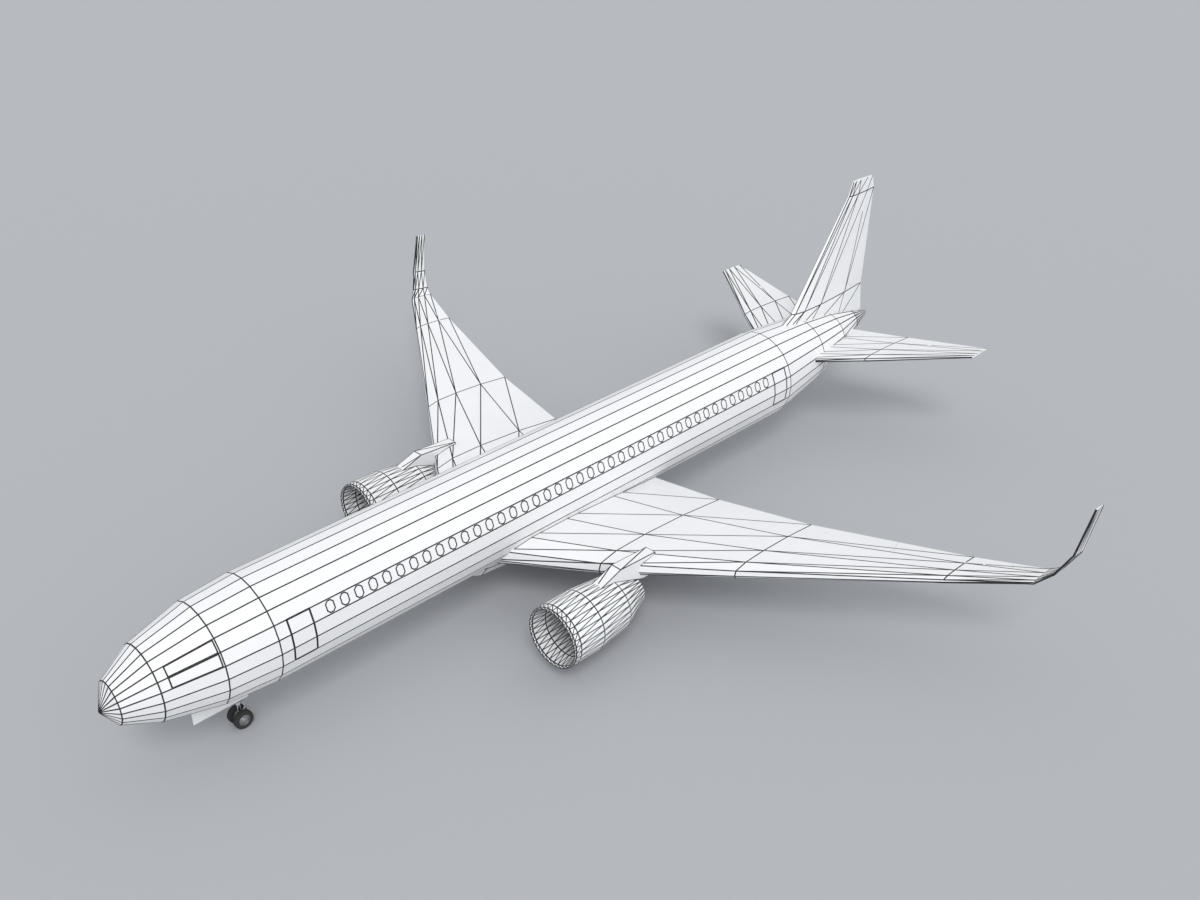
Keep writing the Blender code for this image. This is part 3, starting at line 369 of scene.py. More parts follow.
def make_paint(name, color, spread, roughness=0.36):
    """Semi-gloss paint with broad tone changes, faint streaks along the flow and a fine skin."""
    material, shader = new_material(name, color, roughness)
    darker = tuple(channel * (1.0 - spread) for channel in color)
    broad = ramp(placed_noise(shader, 0.35, 3.0), 0.35, 0.65, darker, color)
    streaks = ramp(placed_noise(shader, 6.0, 6.0, (1.0, 0.06, 1.0)), 0.45, 0.75, 0.0, 1.0)
    soiled = blend_colors(streaks, broad, darker)
    join(soiled, shader.inputs["Base Color"])
    sheen = ramp(placed_noise(shader, 3.0, 5.0), 0.3, 0.7, roughness - 0.05, roughness + 0.09)
    join(sheen, shader.inputs["Roughness"])
    add_bump(shader, placed_noise(shader, 55.0, 3.0), 0.05, 0.002)
    shader.inputs["Coat Weight"].default_value = 0.25
    shader.inputs["Coat Roughness"].default_value = 0.12
    return material


def make_metal(name, color, roughness, stretch, stain=None):
    """Worked metal with a grain that runs along it, and stains where it has been hot or greasy."""
    material, shader = new_material(name, color, roughness, 1.0)
    grain = placed_noise(shader, 40.0, 4.0, stretch)
    darker = tuple(channel * 0.78 for channel in color)
    surface = ramp(grain, 0.3, 0.7, darker, color)
    if stain:
        patches = ramp(placed_noise(shader, 2.5, 4.0), 0.42, 0.68, 0.0, 1.0)
        surface = blend_colors(patches, surface, stain)
    join(surface, shader.inputs["Base Color"])
    sheen = ramp(grain, 0.2, 0.8, roughness - 0.08, roughness + 0.12)
    join(sheen, shader.inputs["Roughness"])
    add_bump(shader, grain, 0.08, 0.001)
    return material


def make_rubber(name, fresh, dusty):
    """Matt rubber, greyer where dust has settled."""
    material, shader = new_material(name, fresh, 0.85)
    dust = ramp(placed_noise(shader, 30.0, 4.0), 0.40, 0.85, fresh, dusty)
    join(dust, shader.inputs["Base Color"])
    add_bump(shader, placed_noise(shader, 220.0, 3.0), 0.15, 0.001)
    return material


def make_ink():
    """Matt dark paint of the lines, a little uneven."""
    material, shader = new_material("line_ink", (0.010, 0.011, 0.013), 0.6)
    noise = placed_noise(shader, 9.0, 4.0)
    tone = ramp(noise, 0.3, 0.7, (0.006, 0.007, 0.009), (0.018, 0.019, 0.022))
    join(tone, shader.inputs["Base Color"])
    return material


def make_lamp_glass():
    """Pale glass of a lamp, with a faint pressed pattern."""
    material, shader = new_material("lamp_glass", (0.78, 0.83, 0.88), 0.06)
    shader.inputs["Coat Weight"].default_value = 0.6
    shader.inputs["Metallic"].default_value = 0.35
    add_bump(shader, placed_noise(shader, 90.0, 1.0), 0.12, 0.001)
    return material


WHITE = make_paint("white_paint", (0.88, 0.885, 0.89), 0.035)
GEAR = make_paint("gear_paint", (0.60, 0.61, 0.63), 0.16, 0.42)
BAY = make_paint("bay_primer", (0.36, 0.40, 0.34), 0.18, 0.55)
INK = make_ink()
CHROME = make_metal("oleo_chrome", (0.82, 0.83, 0.85), 0.12, (1.0, 1.0, 6.0))
FAN = make_metal("fan_metal", (0.55, 0.56, 0.58), 0.30, (1.0, 8.0, 1.0))
HOT = make_metal("core_metal", (0.30, 0.29, 0.29), 0.40, (1.0, 0.2, 1.0), (0.17, 0.13, 0.11))
CAST = make_metal("wheel_metal", (0.62, 0.63, 0.65), 0.34, (1.0, 1.0, 1.0), (0.36, 0.35, 0.33))
STEEL = make_metal("brake_steel", (0.24, 0.24, 0.26), 0.45, (6.0, 1.0, 1.0), (0.14, 0.11, 0.09))
RUBBER = make_rubber("tyre_rubber", (0.024, 0.024, 0.025), (0.044, 0.043, 0.041))
HOSE = make_rubber("hose_rubber", (0.030, 0.030, 0.032), (0.048, 0.047, 0.045))
GLASS = make_lamp_glass()
NODE_FINISH = {
    "engine_core": HOT, "fan": FAN, "main_gear_leg": GEAR, "nose_gear_leg": GEAR,
    "nose_gear_steering": GEAR, "rim": CAST, "tyre": RUBBER,
}


def finish_nodes():
    """Give every CAD node its material."""
    for name, node in frame["nodes"].items():
        material = WHITE
        for prefix, finish in NODE_FINISH.items():
            if name.startswith(prefix):
                material = finish
        node.data.materials.clear()
        node.data.materials.append(material)


# Mesh helpers


def add_object(name, data):
    thing = bpy.data.objects.new(name, data)
    bpy.context.scene.collection.objects.link(thing)
    return thing


def add_mesh(name, bm, material):
    mesh = bpy.data.meshes.new(name)
    bm.to_mesh(mesh)
    bm.free()
    mesh.materials.append(material)
    return add_object(name, mesh)


def make_piece(name, bm, material, body="airframe", smooth=None, bevel=None):
    """Turn a bmesh into a piece that rides on a body."""
    if bevel:
        sharp = [edge for edge in bm.edges if len(edge.link_faces) == 2]
        bmesh.ops.bevel(
            bm, geom=sharp, offset=bevel, segments=2, profile=0.6, affect="EDGES", clamp_overlap=True
        )
    bm.normal_update()
    bmesh.ops.recalc_face_normals(bm, faces=bm.faces)
    piece = add_mesh(name, bm, material)
    if smooth is not None:
        piece.data.shade_smooth()
        piece.data.set_sharp_from_angle(angle=math.radians(smooth))
    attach(piece, body)
    return piece


def welded(node):
    """Mesh of a CAD node with its split corners joined again."""
    bm = bmesh.new()
    bm.from_mesh(frame["nodes"][node].data)
    bmesh.ops.remove_doubles(bm, verts=bm.verts, dist=WELD)
    bm.normal_update()
    return bm


def join_rings(bm, rings):
    """Faces between each ring of vertices and the next. A ring may be a single point."""
    for first, second in zip(rings, rings[1:]):
        steps = max(len(first), len(second))
        for i in range(steps):
            j = (i + 1) % steps
            corners = [ring[k % len(ring)] for ring, k in ((first, i), (first, j), (second, j), (second, i))]
            unique = list(dict.fromkeys(corners))
            if len(unique) > 2:
                bm.faces.new(unique)


def circle(centre, across, other, radius, count, turn=0.0):
    """Points evenly round a circle in the plane of two directions."""
    points = []
    for i in range(count):
        angle = 2 * math.pi * (i + turn) / count
        points.append(centre + (across * math.cos(angle) + other * math.sin(angle)) * radius)
    return points


def add_prism(bm, rings):
    """Closed solid through a list of rings with equally many points."""
    loops = [[bm.verts.new(point) for point in ring] for ring in rings]
    join_rings(bm, loops)
    bm.faces.new(loops[0])
    bm.faces.new(list(reversed(loops[-1])))


def add_rod(bm, start, end, radius, sides=20, end_radius=None):
    """A round bar, or a cone with its own radius at the end."""
    start, end = Vector(start), Vector(end)
    run = end - start
    made = bmesh.ops.create_cone(
        bm, cap_ends=True, segments=sides, radius1=radius, radius2=end_radius or radius, depth=run.length
    )
    turn = run.to_track_quat("Z", "Y").to_matrix().to_4x4()
    bmesh.ops.transform(bm, matrix=Matrix.Translation((start + end) / 2) @ turn, verts=made["verts"])


def add_pin(bm, centre, along, half, radius, sides=20):
    """Round pin that reaches equally far to both sides of a point."""
    add_rod(bm, centre - along * half, centre + along * half, radius, sides)


def add_block(bm, corner, opposite, place=(0.0, 0.0, 0.0)):
    """A box between two opposite corners, measured from a place."""
    corner, opposite = Vector(corner), Vector(opposite)
    made = bmesh.ops.create_cube(bm, size=1.0)
    size = Matrix.Diagonal((*(abs(length) for length in opposite - corner), 1.0))
    middle = Matrix.Translation((corner + opposite) / 2 + Vector(place))
    bmesh.ops.transform(bm, matrix=middle @ size, verts=made["verts"])


def add_beam(bm, start, end, start_size, end_size):
    """A bar whose section is (width along X, thickness) and changes from one end to the other."""
    normal = (end - start).cross(TO_PORT).normalized()
    rings = []
    for point, (width, thick) in ((start, start_size), (end, end_size)):
        out, up = TO_PORT * (width / 2), normal * (thick / 2)
        rings.append([point - out - up, point + out - up, point + out + up, point - out + up])
    add_prism(bm, rings)


def add_turned(bm, profile, centre, axis, steps=ROUND_STEPS):
    """Closed solid of a profile of (radius, distance along the axis) about X, Y or Z."""
    along = Vector([axis == letter for letter in "XYZ"])
    across = TO_PORT if axis == "Z" else UPWARD
    rings = []
    for radius, distance in profile:
        middle = Vector(centre) + along * distance
        points = circle(middle, across, along.cross(across), radius, steps) if radius > 0.0 else [middle]
        rings.append([bm.verts.new(point) for point in points])
    if len(rings[0]) > 1 and len(rings[-1]) > 1:
        rings.append(rings[0])
    join_rings(bm, rings)


def curved(points, steps=6):
    """Points on a smooth curve through the given ones."""
    points = [Vector(point) for point in points]
    padded = [points[0] * 2 - points[1]] + points + [points[-1] * 2 - points[-2]]
    smooth = []
    for a, b, c, d in zip(padded, padded[1:], padded[2:], padded[3:]):
        for k in range(steps):
            t = k / steps
            bend, twist = 2 * a - 5 * b + 4 * c - d, 3 * b - a - 3 * c + d
            smooth.append(0.5 * (2 * b + (c - a) * t + bend * t ** 2 + twist * t ** 3))
    return smooth + [points[-1]]


def add_tube(bm, points, radius, sides=10):
    """Closed round tube along a list of points."""
    rings = []
    across = (points[1] - points[0]).orthogonal().normalized()
    for i, point in enumerate(points):
        ahead, behind = points[min(i + 1, len(points) - 1)], points[max(i - 1, 0)]
        along = (ahead - behind).normalized()
        across = (across - along * across.dot(along)).normalized()
        rings.append(circle(point, across, along.cross(across), radius, sides))
    add_prism(bm, rings)


# Edge lines


def inward(face, edge):
    """Direction in a face, square to one of its edges and away from it."""
    start, end = (vert.co for vert in edge.verts)
    along = (end - start).normalized()
    toward = face.calc_center_median() - start
    return (toward - along * toward.dot(along)).normalized()


def off_skin(point, normal):
    """Points of a line just above and just below the skin."""
    return point + normal * LINE_RISE, point - normal * LINE_SINK


def add_strip(bm, edge, first, second, width):
    """Thin line along an edge. Each side is given as its direction and its surface's normal."""
    ridge = (first[1] + second[1]).normalized()
    rings = []
    for vert in edge.verts:
        point = vert.co
        half = (width(point) if callable(width) else width) / 2
        high, low = off_skin(point + first[0] * half, first[1])
        far_high, far_low = off_skin(point + second[0] * half, second[1])
        ridge_high, ridge_low = off_skin(point, ridge)
        rings.append([low, high, ridge_high, far_high, far_low, ridge_low])
    add_prism(bm, rings)


def add_skin_line(bm, tree, start, end, toward):
    """Straight line on the flat skin in a direction from two points, cut off where the skin ends."""
    hits = []
    for i in range(SKIN_STEPS + 1):
        place, normal, _, _ = tree.ray_cast(start.lerp(end, i / SKIN_STEPS), toward)
        if place and normal.dot(toward) < -SKIN_SQUARE:
            hits.append((place, normal))
    if len(hits) < 2:
        return
    first, last = hits[0][0], hits[-1][0]
    normal = hits[len(hits) // 2][1]
    across = (last - first).cross(normal).normalized() * (LINE_WIDTH / 2)
    rings = []
    for point in (first, last):
        high, low = off_skin(point, normal)
        rings.append([low - across, high - across, high + across, low + across])
    add_prism(bm, rings)


def skin_tree(node):
    """Search tree of a node's faces, for laying lines on them."""
    source = welded(node)
    tree = BVHTree.FromBMesh(source)
    source.free()
    return tree


def line_edges(bm, node, angles, keep=None, width=LINE_WIDTH):
    """Lines along the edges of a node whose faces meet at an angle within the range, in degrees."""
    source = welded(node)
    low, high = angles
    for edge in source.edges:
        if len(edge.link_faces) != 2:
            continue
        angle = math.degrees(edge.calc_face_angle(0.0))
        if not low <= angle <= high or (keep and not keep(edge)):
            continue
        sides = [(inward(face, edge), face.normal) for face in edge.link_faces]
        add_strip(bm, edge, sides[0], sides[1], width)
    source.free()


def outline_skin(bm, node, facing, width):
    """Lines round the outer skin of a node of the body, where its skin meets its cut sides."""
    source = welded(node)

    def is_skin(face):
        centre = face.calc_center_median()
        out = Vector((centre.x, 0.0, centre.z - BODY_AXIS)).normalized()
        return face.normal.dot(out) > facing

    for edge in source.edges:
        skins = [face for face in edge.link_faces if is_skin(face)]
        if len(skins) != 1:
            continue
        into, normal = inward(skins[0], edge), skins[0].normal
        add_strip(bm, edge, (into, normal), (-into, normal), width)
    source.free()


def tip_width(node):
    """Width of a line near a tip of the body, where the lines come together."""
    low, high = BOXES[node]
    middle = (low + high) / 2
    share, widest = TIP_LINES[node]

    def width(point):
        radius = math.hypot(point.x - middle.x, point.z - middle.z)
        room = 2 * math.pi * radius / BODY_SIDES
        return min(widest, share * room)

    return width


def away_from(joint_name, reach):
    """Test that leaves out the edges in the round nose and the hollow of a hinge."""
    joint = next(joint for joint in frame["joints"] if joint["name"] == joint_name)
    place, axis = Vector(joint["pos_m"]), Vector(joint["axis"]).normalized()

    def far(vert):
        offset = vert.co - place
        return (offset - axis * offset.dot(axis)).length > reach

    return lambda edge: edge.calc_length() >= SHORTEST_LINE and any(far(vert) for vert in edge.verts)


def make_body_lines():
    bm = bmesh.new()
    for node in ["fuselage", "belly_fairing"] + DOORS:
        line_edges(bm, node, BODY_ANGLES)
    for node in ("radome", "tail_cone"):
        line_edges(bm, node, BODY_ANGLES, None, tip_width(node))
        outline_skin(bm, node, SKIN_FACING, tip_width(node))
    make_piece("body_lines", bm, INK)


def make_bold_outlines():
    bm = bmesh.new()
    for door in DOORS:
        outline_skin(bm, door, PANEL_FACING, DOOR_LINE)
    for pane in PANES:
        outline_skin(bm, pane, PANEL_FACING, PANE_LINE)
    make_piece("door_and_pane_outlines", bm, INK)


def beside_fin(side, level, share):
    """Point off a side of the fin, at a share of its chord at a level."""
    height, front, rear = level
    return Vector((side * SKIN_REACH, aft(between(front, rear, share)), BODY_AXIS + height))


def cross_fin(bm, node):
    """Lines across the flat faces of the fin or the rudder, each from a level to the next one up."""
    tree = skin_tree(node)
    for lower, upper in zip(FIN_LEVELS, FIN_LEVELS[1:]):
        for first, second in zip(FIN_SHARES, FIN_SHARES[1:]):
            for side, _ in SIDES:
                start, end = beside_fin(side, lower, first), beside_fin(side, upper, second)
                add_skin_line(bm, tree, start, end, TO_PORT * -side)


def cross_pylon(bm, side, label):
    """Lines across the flat top faces of a pylon."""
    tree = skin_tree("pylon_" + label)
    for crossing in PYLON_CROSSINGS:
        start, end = (Vector((side * out, aft(station), SKIN_REACH)) for out, station in crossing)
        add_skin_line(bm, tree, start, end, -UPWARD)


def make_surface_lines():
    """Lines on the wings, the tail and their moving surfaces, each on its own body."""
    for _, label in SIDES:
        for fixed, moving, nodes in (
            ("wing", "aileron", ("wing", "flap_inboard", "flap_outboard", "winglet")),
            ("stabilizer", "elevator", ("stabilizer",)),
        ):
            hinge = moving + "_hinge_" + label
            fixed_room, moving_room = HINGE_ROOM[moving]
            bm = bmesh.new()
            for node in nodes:
                line_edges(bm, node + "_" + label, SURFACE_ANGLES, away_from(hinge, fixed_room))
            make_piece(fixed + "_lines_" + label, bm, INK)
            bm = bmesh.new()
            line_edges(bm, moving + "_" + label, MOVING_ANGLES, away_from(hinge, moving_room))
            make_piece(moving + "_lines_" + label, bm, INK, label + "_" + moving)
    for name, body, reach in zip(("fin", "rudder"), ("airframe", "tail_rudder"), HINGE_ROOM["rudder"]):
        bm = bmesh.new()
        line_edges(bm, name, MOVING_ANGLES, away_from("rudder_hinge", reach))
        cross_fin(bm, name)
        make_piece(name + "_lines", bm, INK, body)


def make_engine_lines():
    """Dense triangle lines of the nacelles, in front of the fan and outside, and of the pylons."""
    for side, label in SIDES:
        node = "nacelle_" + label
        rear = BOXES[node][1].y - REAR_DEPTH
        axis = Vector((side * ENGINE_OUT, 0.0, ENGINE_AXIS))

        def shown(edge):
            middle = (edge.verts[0].co + edge.verts[1].co) / 2
            out = middle - axis
            out.y = 0.0
            faces_in = all(face.normal.dot(out.normalized()) < -DUCT_FACING for face in edge.link_faces)
            last = FAN_FRONT + (DUCT_RING_ROOM if is_ring(edge) else 0.0)
            in_duct = faces_in and middle.y > last
            rear_face = middle.y > rear and out.length < REAR_RADIUS
            return not in_duct and not rear_face

        def is_ring(edge):
            return abs(edge.verts[0].co.y - edge.verts[1].co.y) < RING_FLATNESS

        bm = bmesh.new()
        line_edges(bm, node, NACELLE_ANGLES, lambda edge: shown(edge) and is_ring(edge))
        line_edges(bm, node, NACELLE_ANGLES, lambda edge: shown(edge) and not is_ring(edge), NACELLE_LINE)
        line_edges(bm, "pylon_" + label, PYLON_ANGLES)
        cross_pylon(bm, side, label)
        make_piece("engine_lines_" + label, bm, INK)


# Windows


def body_corner(corner, side):
    """Corner of the cabin's ring, counted from the top towards a side."""
    angle = corner * 2 * math.pi / BODY_SIDES
    height = BODY_AXIS + BODY_HALF_HEIGHT * math.cos(angle)
    return Vector((side * BODY_HALF_WIDTH * math.sin(angle), 0.0, height))


def octagon(width, height, cut):
    """Corners of a rectangle with its corners cut, the cut as a share of the width."""
    w, h, c = width / 2, height / 2, width * cut
    upper = [(w, h - c), (w - c, h), (c - w, h), (-w, h - c)]
    return [(-y, -z) for y, z in upper] + upper


def add_frame(bm, inner, outer):
    """Closed flat frame between two outlines, each given low and high."""
    loops = []
    for ring in (outer[0], outer[1], inner[1], inner[0]):
        loops.append([bm.verts.new(point) for point in ring])
    join_rings(bm, loops + loops[:1])


def make_windows():
    """A row of eight-sided windows each side: a white pane in a dark rim, flush on its facet."""
    inner = octagon(WINDOW_WIDTH - 2 * WINDOW_RIM, WINDOW_HEIGHT - 2 * WINDOW_RIM, WINDOW_CUT)
    outer = octagon(WINDOW_WIDTH, WINDOW_HEIGHT, WINDOW_CUT)
    for side, label in SIDES:
        rims, panes = bmesh.new(), bmesh.new()
        top, bottom = body_corner(WINDOW_CORNER, side), body_corner(WINDOW_CORNER + 1, side)
        rise = (top - bottom).normalized()
        normal = Vector((side * abs(rise.z), 0.0, abs(rise.x)))
        for i in range(WINDOW_COUNT):
            station = between(WINDOW_FIRST, WINDOW_LAST, i / (WINDOW_COUNT - 1))
            middle = (top + bottom) / 2 + TO_TAIL * aft(station)

            def placed(outline, height):
                return [middle + TO_TAIL * y + rise * z + normal * height for y, z in outline]

            both = ([placed(ring, -LINE_SINK), placed(ring, LINE_RISE)] for ring in (inner, outer))
            add_frame(rims, *both)
            add_prism(panes, [placed(inner, -LINE_SINK), placed(inner, WINDOW_PANE_RISE)])
        make_piece("window_rims_" + label, rims, INK)
        make_piece("window_panes_" + label, panes, WHITE, "airframe")


# Engines


def blade_ring(share, angle):
    """One section of a fan blade, bent and twisted, at a share of its length."""
    radius = between(HUB_RADIUS, TIP_RADIUS, share)
    stagger = math.radians(between(HUB_STAGGER, TIP_STAGGER, share))
    chord = between(HUB_CHORD, TIP_CHORD, math.sin(share * math.pi / 2))
    thick = between(HUB_THICKNESS, TIP_THICKNESS, share)
    points = []
    for u, v in BLADE_SHAPE:
        along = u * chord
        across = BLADE_CAMBER * chord * (1.0 - (2 * u) ** 2) + v * thick / 2
        y = along * math.cos(stagger) - across * math.sin(stagger)
        turn = along * math.sin(stagger) + across * math.cos(stagger)
        y = max(-BLADE_REACH, min(BLADE_REACH, y))
        swing = angle + turn / radius
        points.append((radius * math.cos(swing), y, radius * math.sin(swing)))
    return points


def make_fan(side, label):
    """Fan of thin twisted blades on a smooth spinner, in the place of the plain one."""
    centre = Vector((side * ENGINE_OUT, FAN_REAR - BLADE_CENTRE, ENGINE_AXIS))
    bm = bmesh.new()
    for i in range(BLADE_COUNT):
        angle = 2 * math.pi * i / BLADE_COUNT
        rings = [blade_ring(k / (BLADE_SECTIONS - 1), angle) for k in range(BLADE_SECTIONS)]
        add_prism(bm, [[centre + Vector(point) for point in ring] for ring in rings])
    blades = make_piece("fan_blades_" + label, bm, FAN, label + "_fan", 40.0)
    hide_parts("fan_" + label)
    length = centre.y - FAN_FRONT
    widest, rear = HUB_RADIUS * SPINNER_SIZE, SPINNER_REAR
    profile = [(0.0, -length)]
    for k in range(1, SPINNER_RINGS + 1):
        share = k / SPINNER_RINGS
        profile.append((widest * share ** SPINNER_POWER, between(-length, -rear, share)))
    profile += [(widest, rear), (0.0, rear)]
    bm = bmesh.new()
    add_turned(bm, profile, centre, "Y", FAN_STEPS)
    make_piece("spinner_" + label, bm, STEEL, label + "_fan", 35.0)


def make_guide_vanes(side, label):
    """Fixed vanes behind the fan."""
    centre = Vector((side * ENGINE_OUT, FAN_REAR + GUIDE_START, ENGINE_AXIS))
    bm = bmesh.new()
    for out in circle(Vector(), TO_PORT, UPWARD, 1.0, GUIDE_COUNT, 0.5):
        across = out.cross(TO_TAIL)
        rings = []
        for radius in GUIDE_RADII:
            place = centre + out * radius
            rings.append([place + across * offset + TO_TAIL * y for y, offset in GUIDE_SHAPE])
        add_prism(bm, rings)
    make_piece("guide_vanes_" + label, bm, FAN, "airframe", 30.0)


# Wheels


def mirrored(profile, side):
    """Profile of (radius, distance) with its distances towards a side."""
    return [(radius, side * distance) for radius, distance in profile]


def make_tyre(name, body):
    """Tyre with round shoulders and grooves, in the place of the faceted one."""
    low, high = BOXES[name]
    centre = (low + high) / 2
    radius, half = centre.z, (high.x - low.x) / 2
    rim_low, rim_high = BOXES[name.replace("tyre", "rim")]
    inner = (rim_high.z - rim_low.z) / 2 + TYRE_SEAT
    wall = [(between(inner, radius, height), half * out) for height, out in TYRE_SIDE]
    profile = mirrored(wall, -1)
    for place in GROOVES:
        crown = radius - TREAD_DROP * place ** 2
        for offset, deep in GROOVE_SHAPE:
            profile.append((crown - GROOVE_DEPTH * deep, half * place + offset * GROOVE_WIDTH / 2))
    profile += reversed(wall)
    bm = bmesh.new()
    add_turned(bm, profile, centre, "X", WHEEL_STEPS)
    piece = make_piece("grooved_" + name, bm, RUBBER, body, 38.0)
    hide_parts(name)


def make_wheel_details(rim_name, body, outward):
    """Tie bolts, vents and a hub cap on the outer face of a rim, and the turned lips of its flanges."""
    low, high = BOXES[rim_name]
    centre = (low + high) / 2
    half, radius = (high.x - low.x) / 2, (high.z - low.z) / 2
    away = TO_PORT * outward
    dish = centre + away * (half * DISH_SHARE)
    details, vents = bmesh.new(), bmesh.new()
    for bm, studs in ((details, BOLTS), (details, WASHERS), (vents, VENTS)):
        count, turn, ring, size, deep, out, sides = studs
        for place in circle(dish, TO_TAIL, UPWARD, radius * ring, count, turn):
            add_rod(bm, place - away * deep, place + away * out, radius * size, sides)
    cap = [(r * radius / CAP_RIM, half + d) for r, d in HUB_CAP]
    add_turned(details, mirrored(cap, outward), centre, "X")
    lip = [(radius + r, half + d) for r, d in RIM_LIP]
    for sign in (1, -1):
        add_turned(details, mirrored(lip, sign), centre, "X", WHEEL_STEPS)
    make_piece("bolts_and_cap_" + rim_name, details, CAST, body, 35.0)
    make_piece("vents_" + rim_name, vents, STEEL, body, 35.0)


def make_wheels():
    groups = [("nose", "nose_wheels")]
    for _, label in SIDES:
        groups.append(("main_" + label, label + "_wheels"))
    for label, body in groups:
        for place, outward in (("left", 1), ("right", -1)):
            make_tyre("tyre_" + label + "_" + place, body)
            make_wheel_details("rim_" + label + "_" + place, body, outward)


# Landing gear


def make_gear_piece(name, bm, material, smooth=30.0, bevel=None, body="airframe"):
    """Piece of a leg, on the airframe unless another body is given."""
    return make_piece(name, bm, material, body, smooth, bevel)


def axle_centre(label):
    """Middle of the axle between two tyres."""
    return (centre_of("tyre_" + label + "_left") + centre_of("tyre_" + label + "_right")) / 2


def add_bar(bm, centre, radius, end_radius, reach, bevel):
    """Round bar along X with bevelled ends."""
    half = [(0.0, -reach), (end_radius, -reach), (radius, bevel - reach)]
    add_turned(bm, half + mirrored(reversed(half), -1), centre, "X")


def make_piston(name, foot, radius, low, high, body="airframe"):
    """Chrome piston between two heights above the axle."""
    bm = bmesh.new()
    add_turned(bm, [(0.0, low), (radius, low), (radius, high), (0.0, high)], foot, "Z")
    make_gear_piece(name, bm, CHROME, body=body)


def add_torque_links(bm, pins, foot, heights, shape):
    """Two forged links behind a strut, narrowing to the pin at the knee, and the lugs that hold them."""
    back, width, thick = shape["root"]
    knee_back, knee_up, knee_width, knee_thick = shape["knee"]
    knee = foot + Vector((0.0, knee_back, knee_up))
    half, near, far, tall = shape["lug"]
    past, share = ROOT_PIN
    for height in heights:
        level = Vector((foot.x, foot.y, height))
        root = level + TO_TAIL * back
        add_beam(bm, root, knee, (width, thick), (knee_width, knee_thick))
        add_block(bm, (-half, near, -tall), (half, far, tall), level)
        add_pin(pins, root, TO_PORT, width / 2 + past, thick * share)
    past, share = KNEE_PIN
    add_pin(pins, knee, TO_PORT, knee_width / 2 + past, knee_thick * share)


def add_folding_brace(bm, foot, head, across, shape):
    """Two rods with collars and a knuckle where the brace folds, and a pin near its foot."""
    run = head - foot
    first, last, again = shape["rods"]
    add_rod(bm, foot + run * first, foot + run * last, shape["radius"])
    add_rod(bm, foot + run * again, head, shape["radius"])
    for start, end, radius, end_radius in shape["collars"]:
        add_rod(bm, foot + run * start, foot + run * end, radius, end_radius=end_radius)
    middle = foot + run * shape["fold"]
    add_pin(bm, middle, across, *shape["pin"])
    out, half, radius = shape["cheek"]
    for sign in (1, -1):
        add_pin(bm, middle + across * (sign * out), across, half, radius, CHEEK_SIDES)
    reach, half, radius = shape["foot"]
    add_pin(bm, foot + run.normalized() * reach, across, half, radius)


def add_brakes(discs, housing, centre, side):
    """Stack of discs inside a wheel, with the housing and its round pistons next to the leg."""
    inner, outer = BRAKE_RADII
    room = (BRAKE_END - BRAKE_STACK) / BRAKE_DISCS
    for i in range(BRAKE_DISCS):
        near = BRAKE_STACK + room * i
        far = near + room * DISC_SHARE
        edge = outer if i % 2 else outer - DISC_STEP
        disc = [(inner, near), (edge, near), (edge, far), (inner, far)]
        add_turned(discs, mirrored(disc, side), centre, "X", WHEEL_STEPS)
    add_turned(discs, mirrored(BRAKE_SLEEVE, side), centre, "X")
    add_turned(housing, mirrored(BRAKE_PLATE, side), centre, "X")
    away = TO_PORT * side
    for place in circle(centre, TO_TAIL, UPWARD, PISTON_CIRCLE, BRAKE_PISTONS, 0.5):
        for near, far, radius, end_radius, sides in PISTON_PARTS:
            add_rod(housing, place + away * near, place + away * far, radius, sides, end_radius)


def make_hoses(label, foot, top):
    """Brake hoses down the front of a leg, one to each brake, and the clips that hold them."""
    hoses, clips = bmesh.new(), bmesh.new()
    out, back, drop = HOSE_TOP
    route = [(out, back, top - drop - foot.z), *HOSE_ROUTE]
    for sign in (1, -1):
        add_tube(hoses, curved([foot + Vector((sign * x, y, z)) for x, y, z in route]), HOSE_RADIUS)
    make_piece("brake_hoses_" + label, hoses, HOSE, smooth=60.0)
    for height in CLIP_HEIGHTS:
        add_block(clips, *CLIP_BOX, foot + UPWARD * (GLAND_HEIGHT + height))
    make_gear_piece("hose_clips_" + label, clips, STEEL, bevel=0.003)


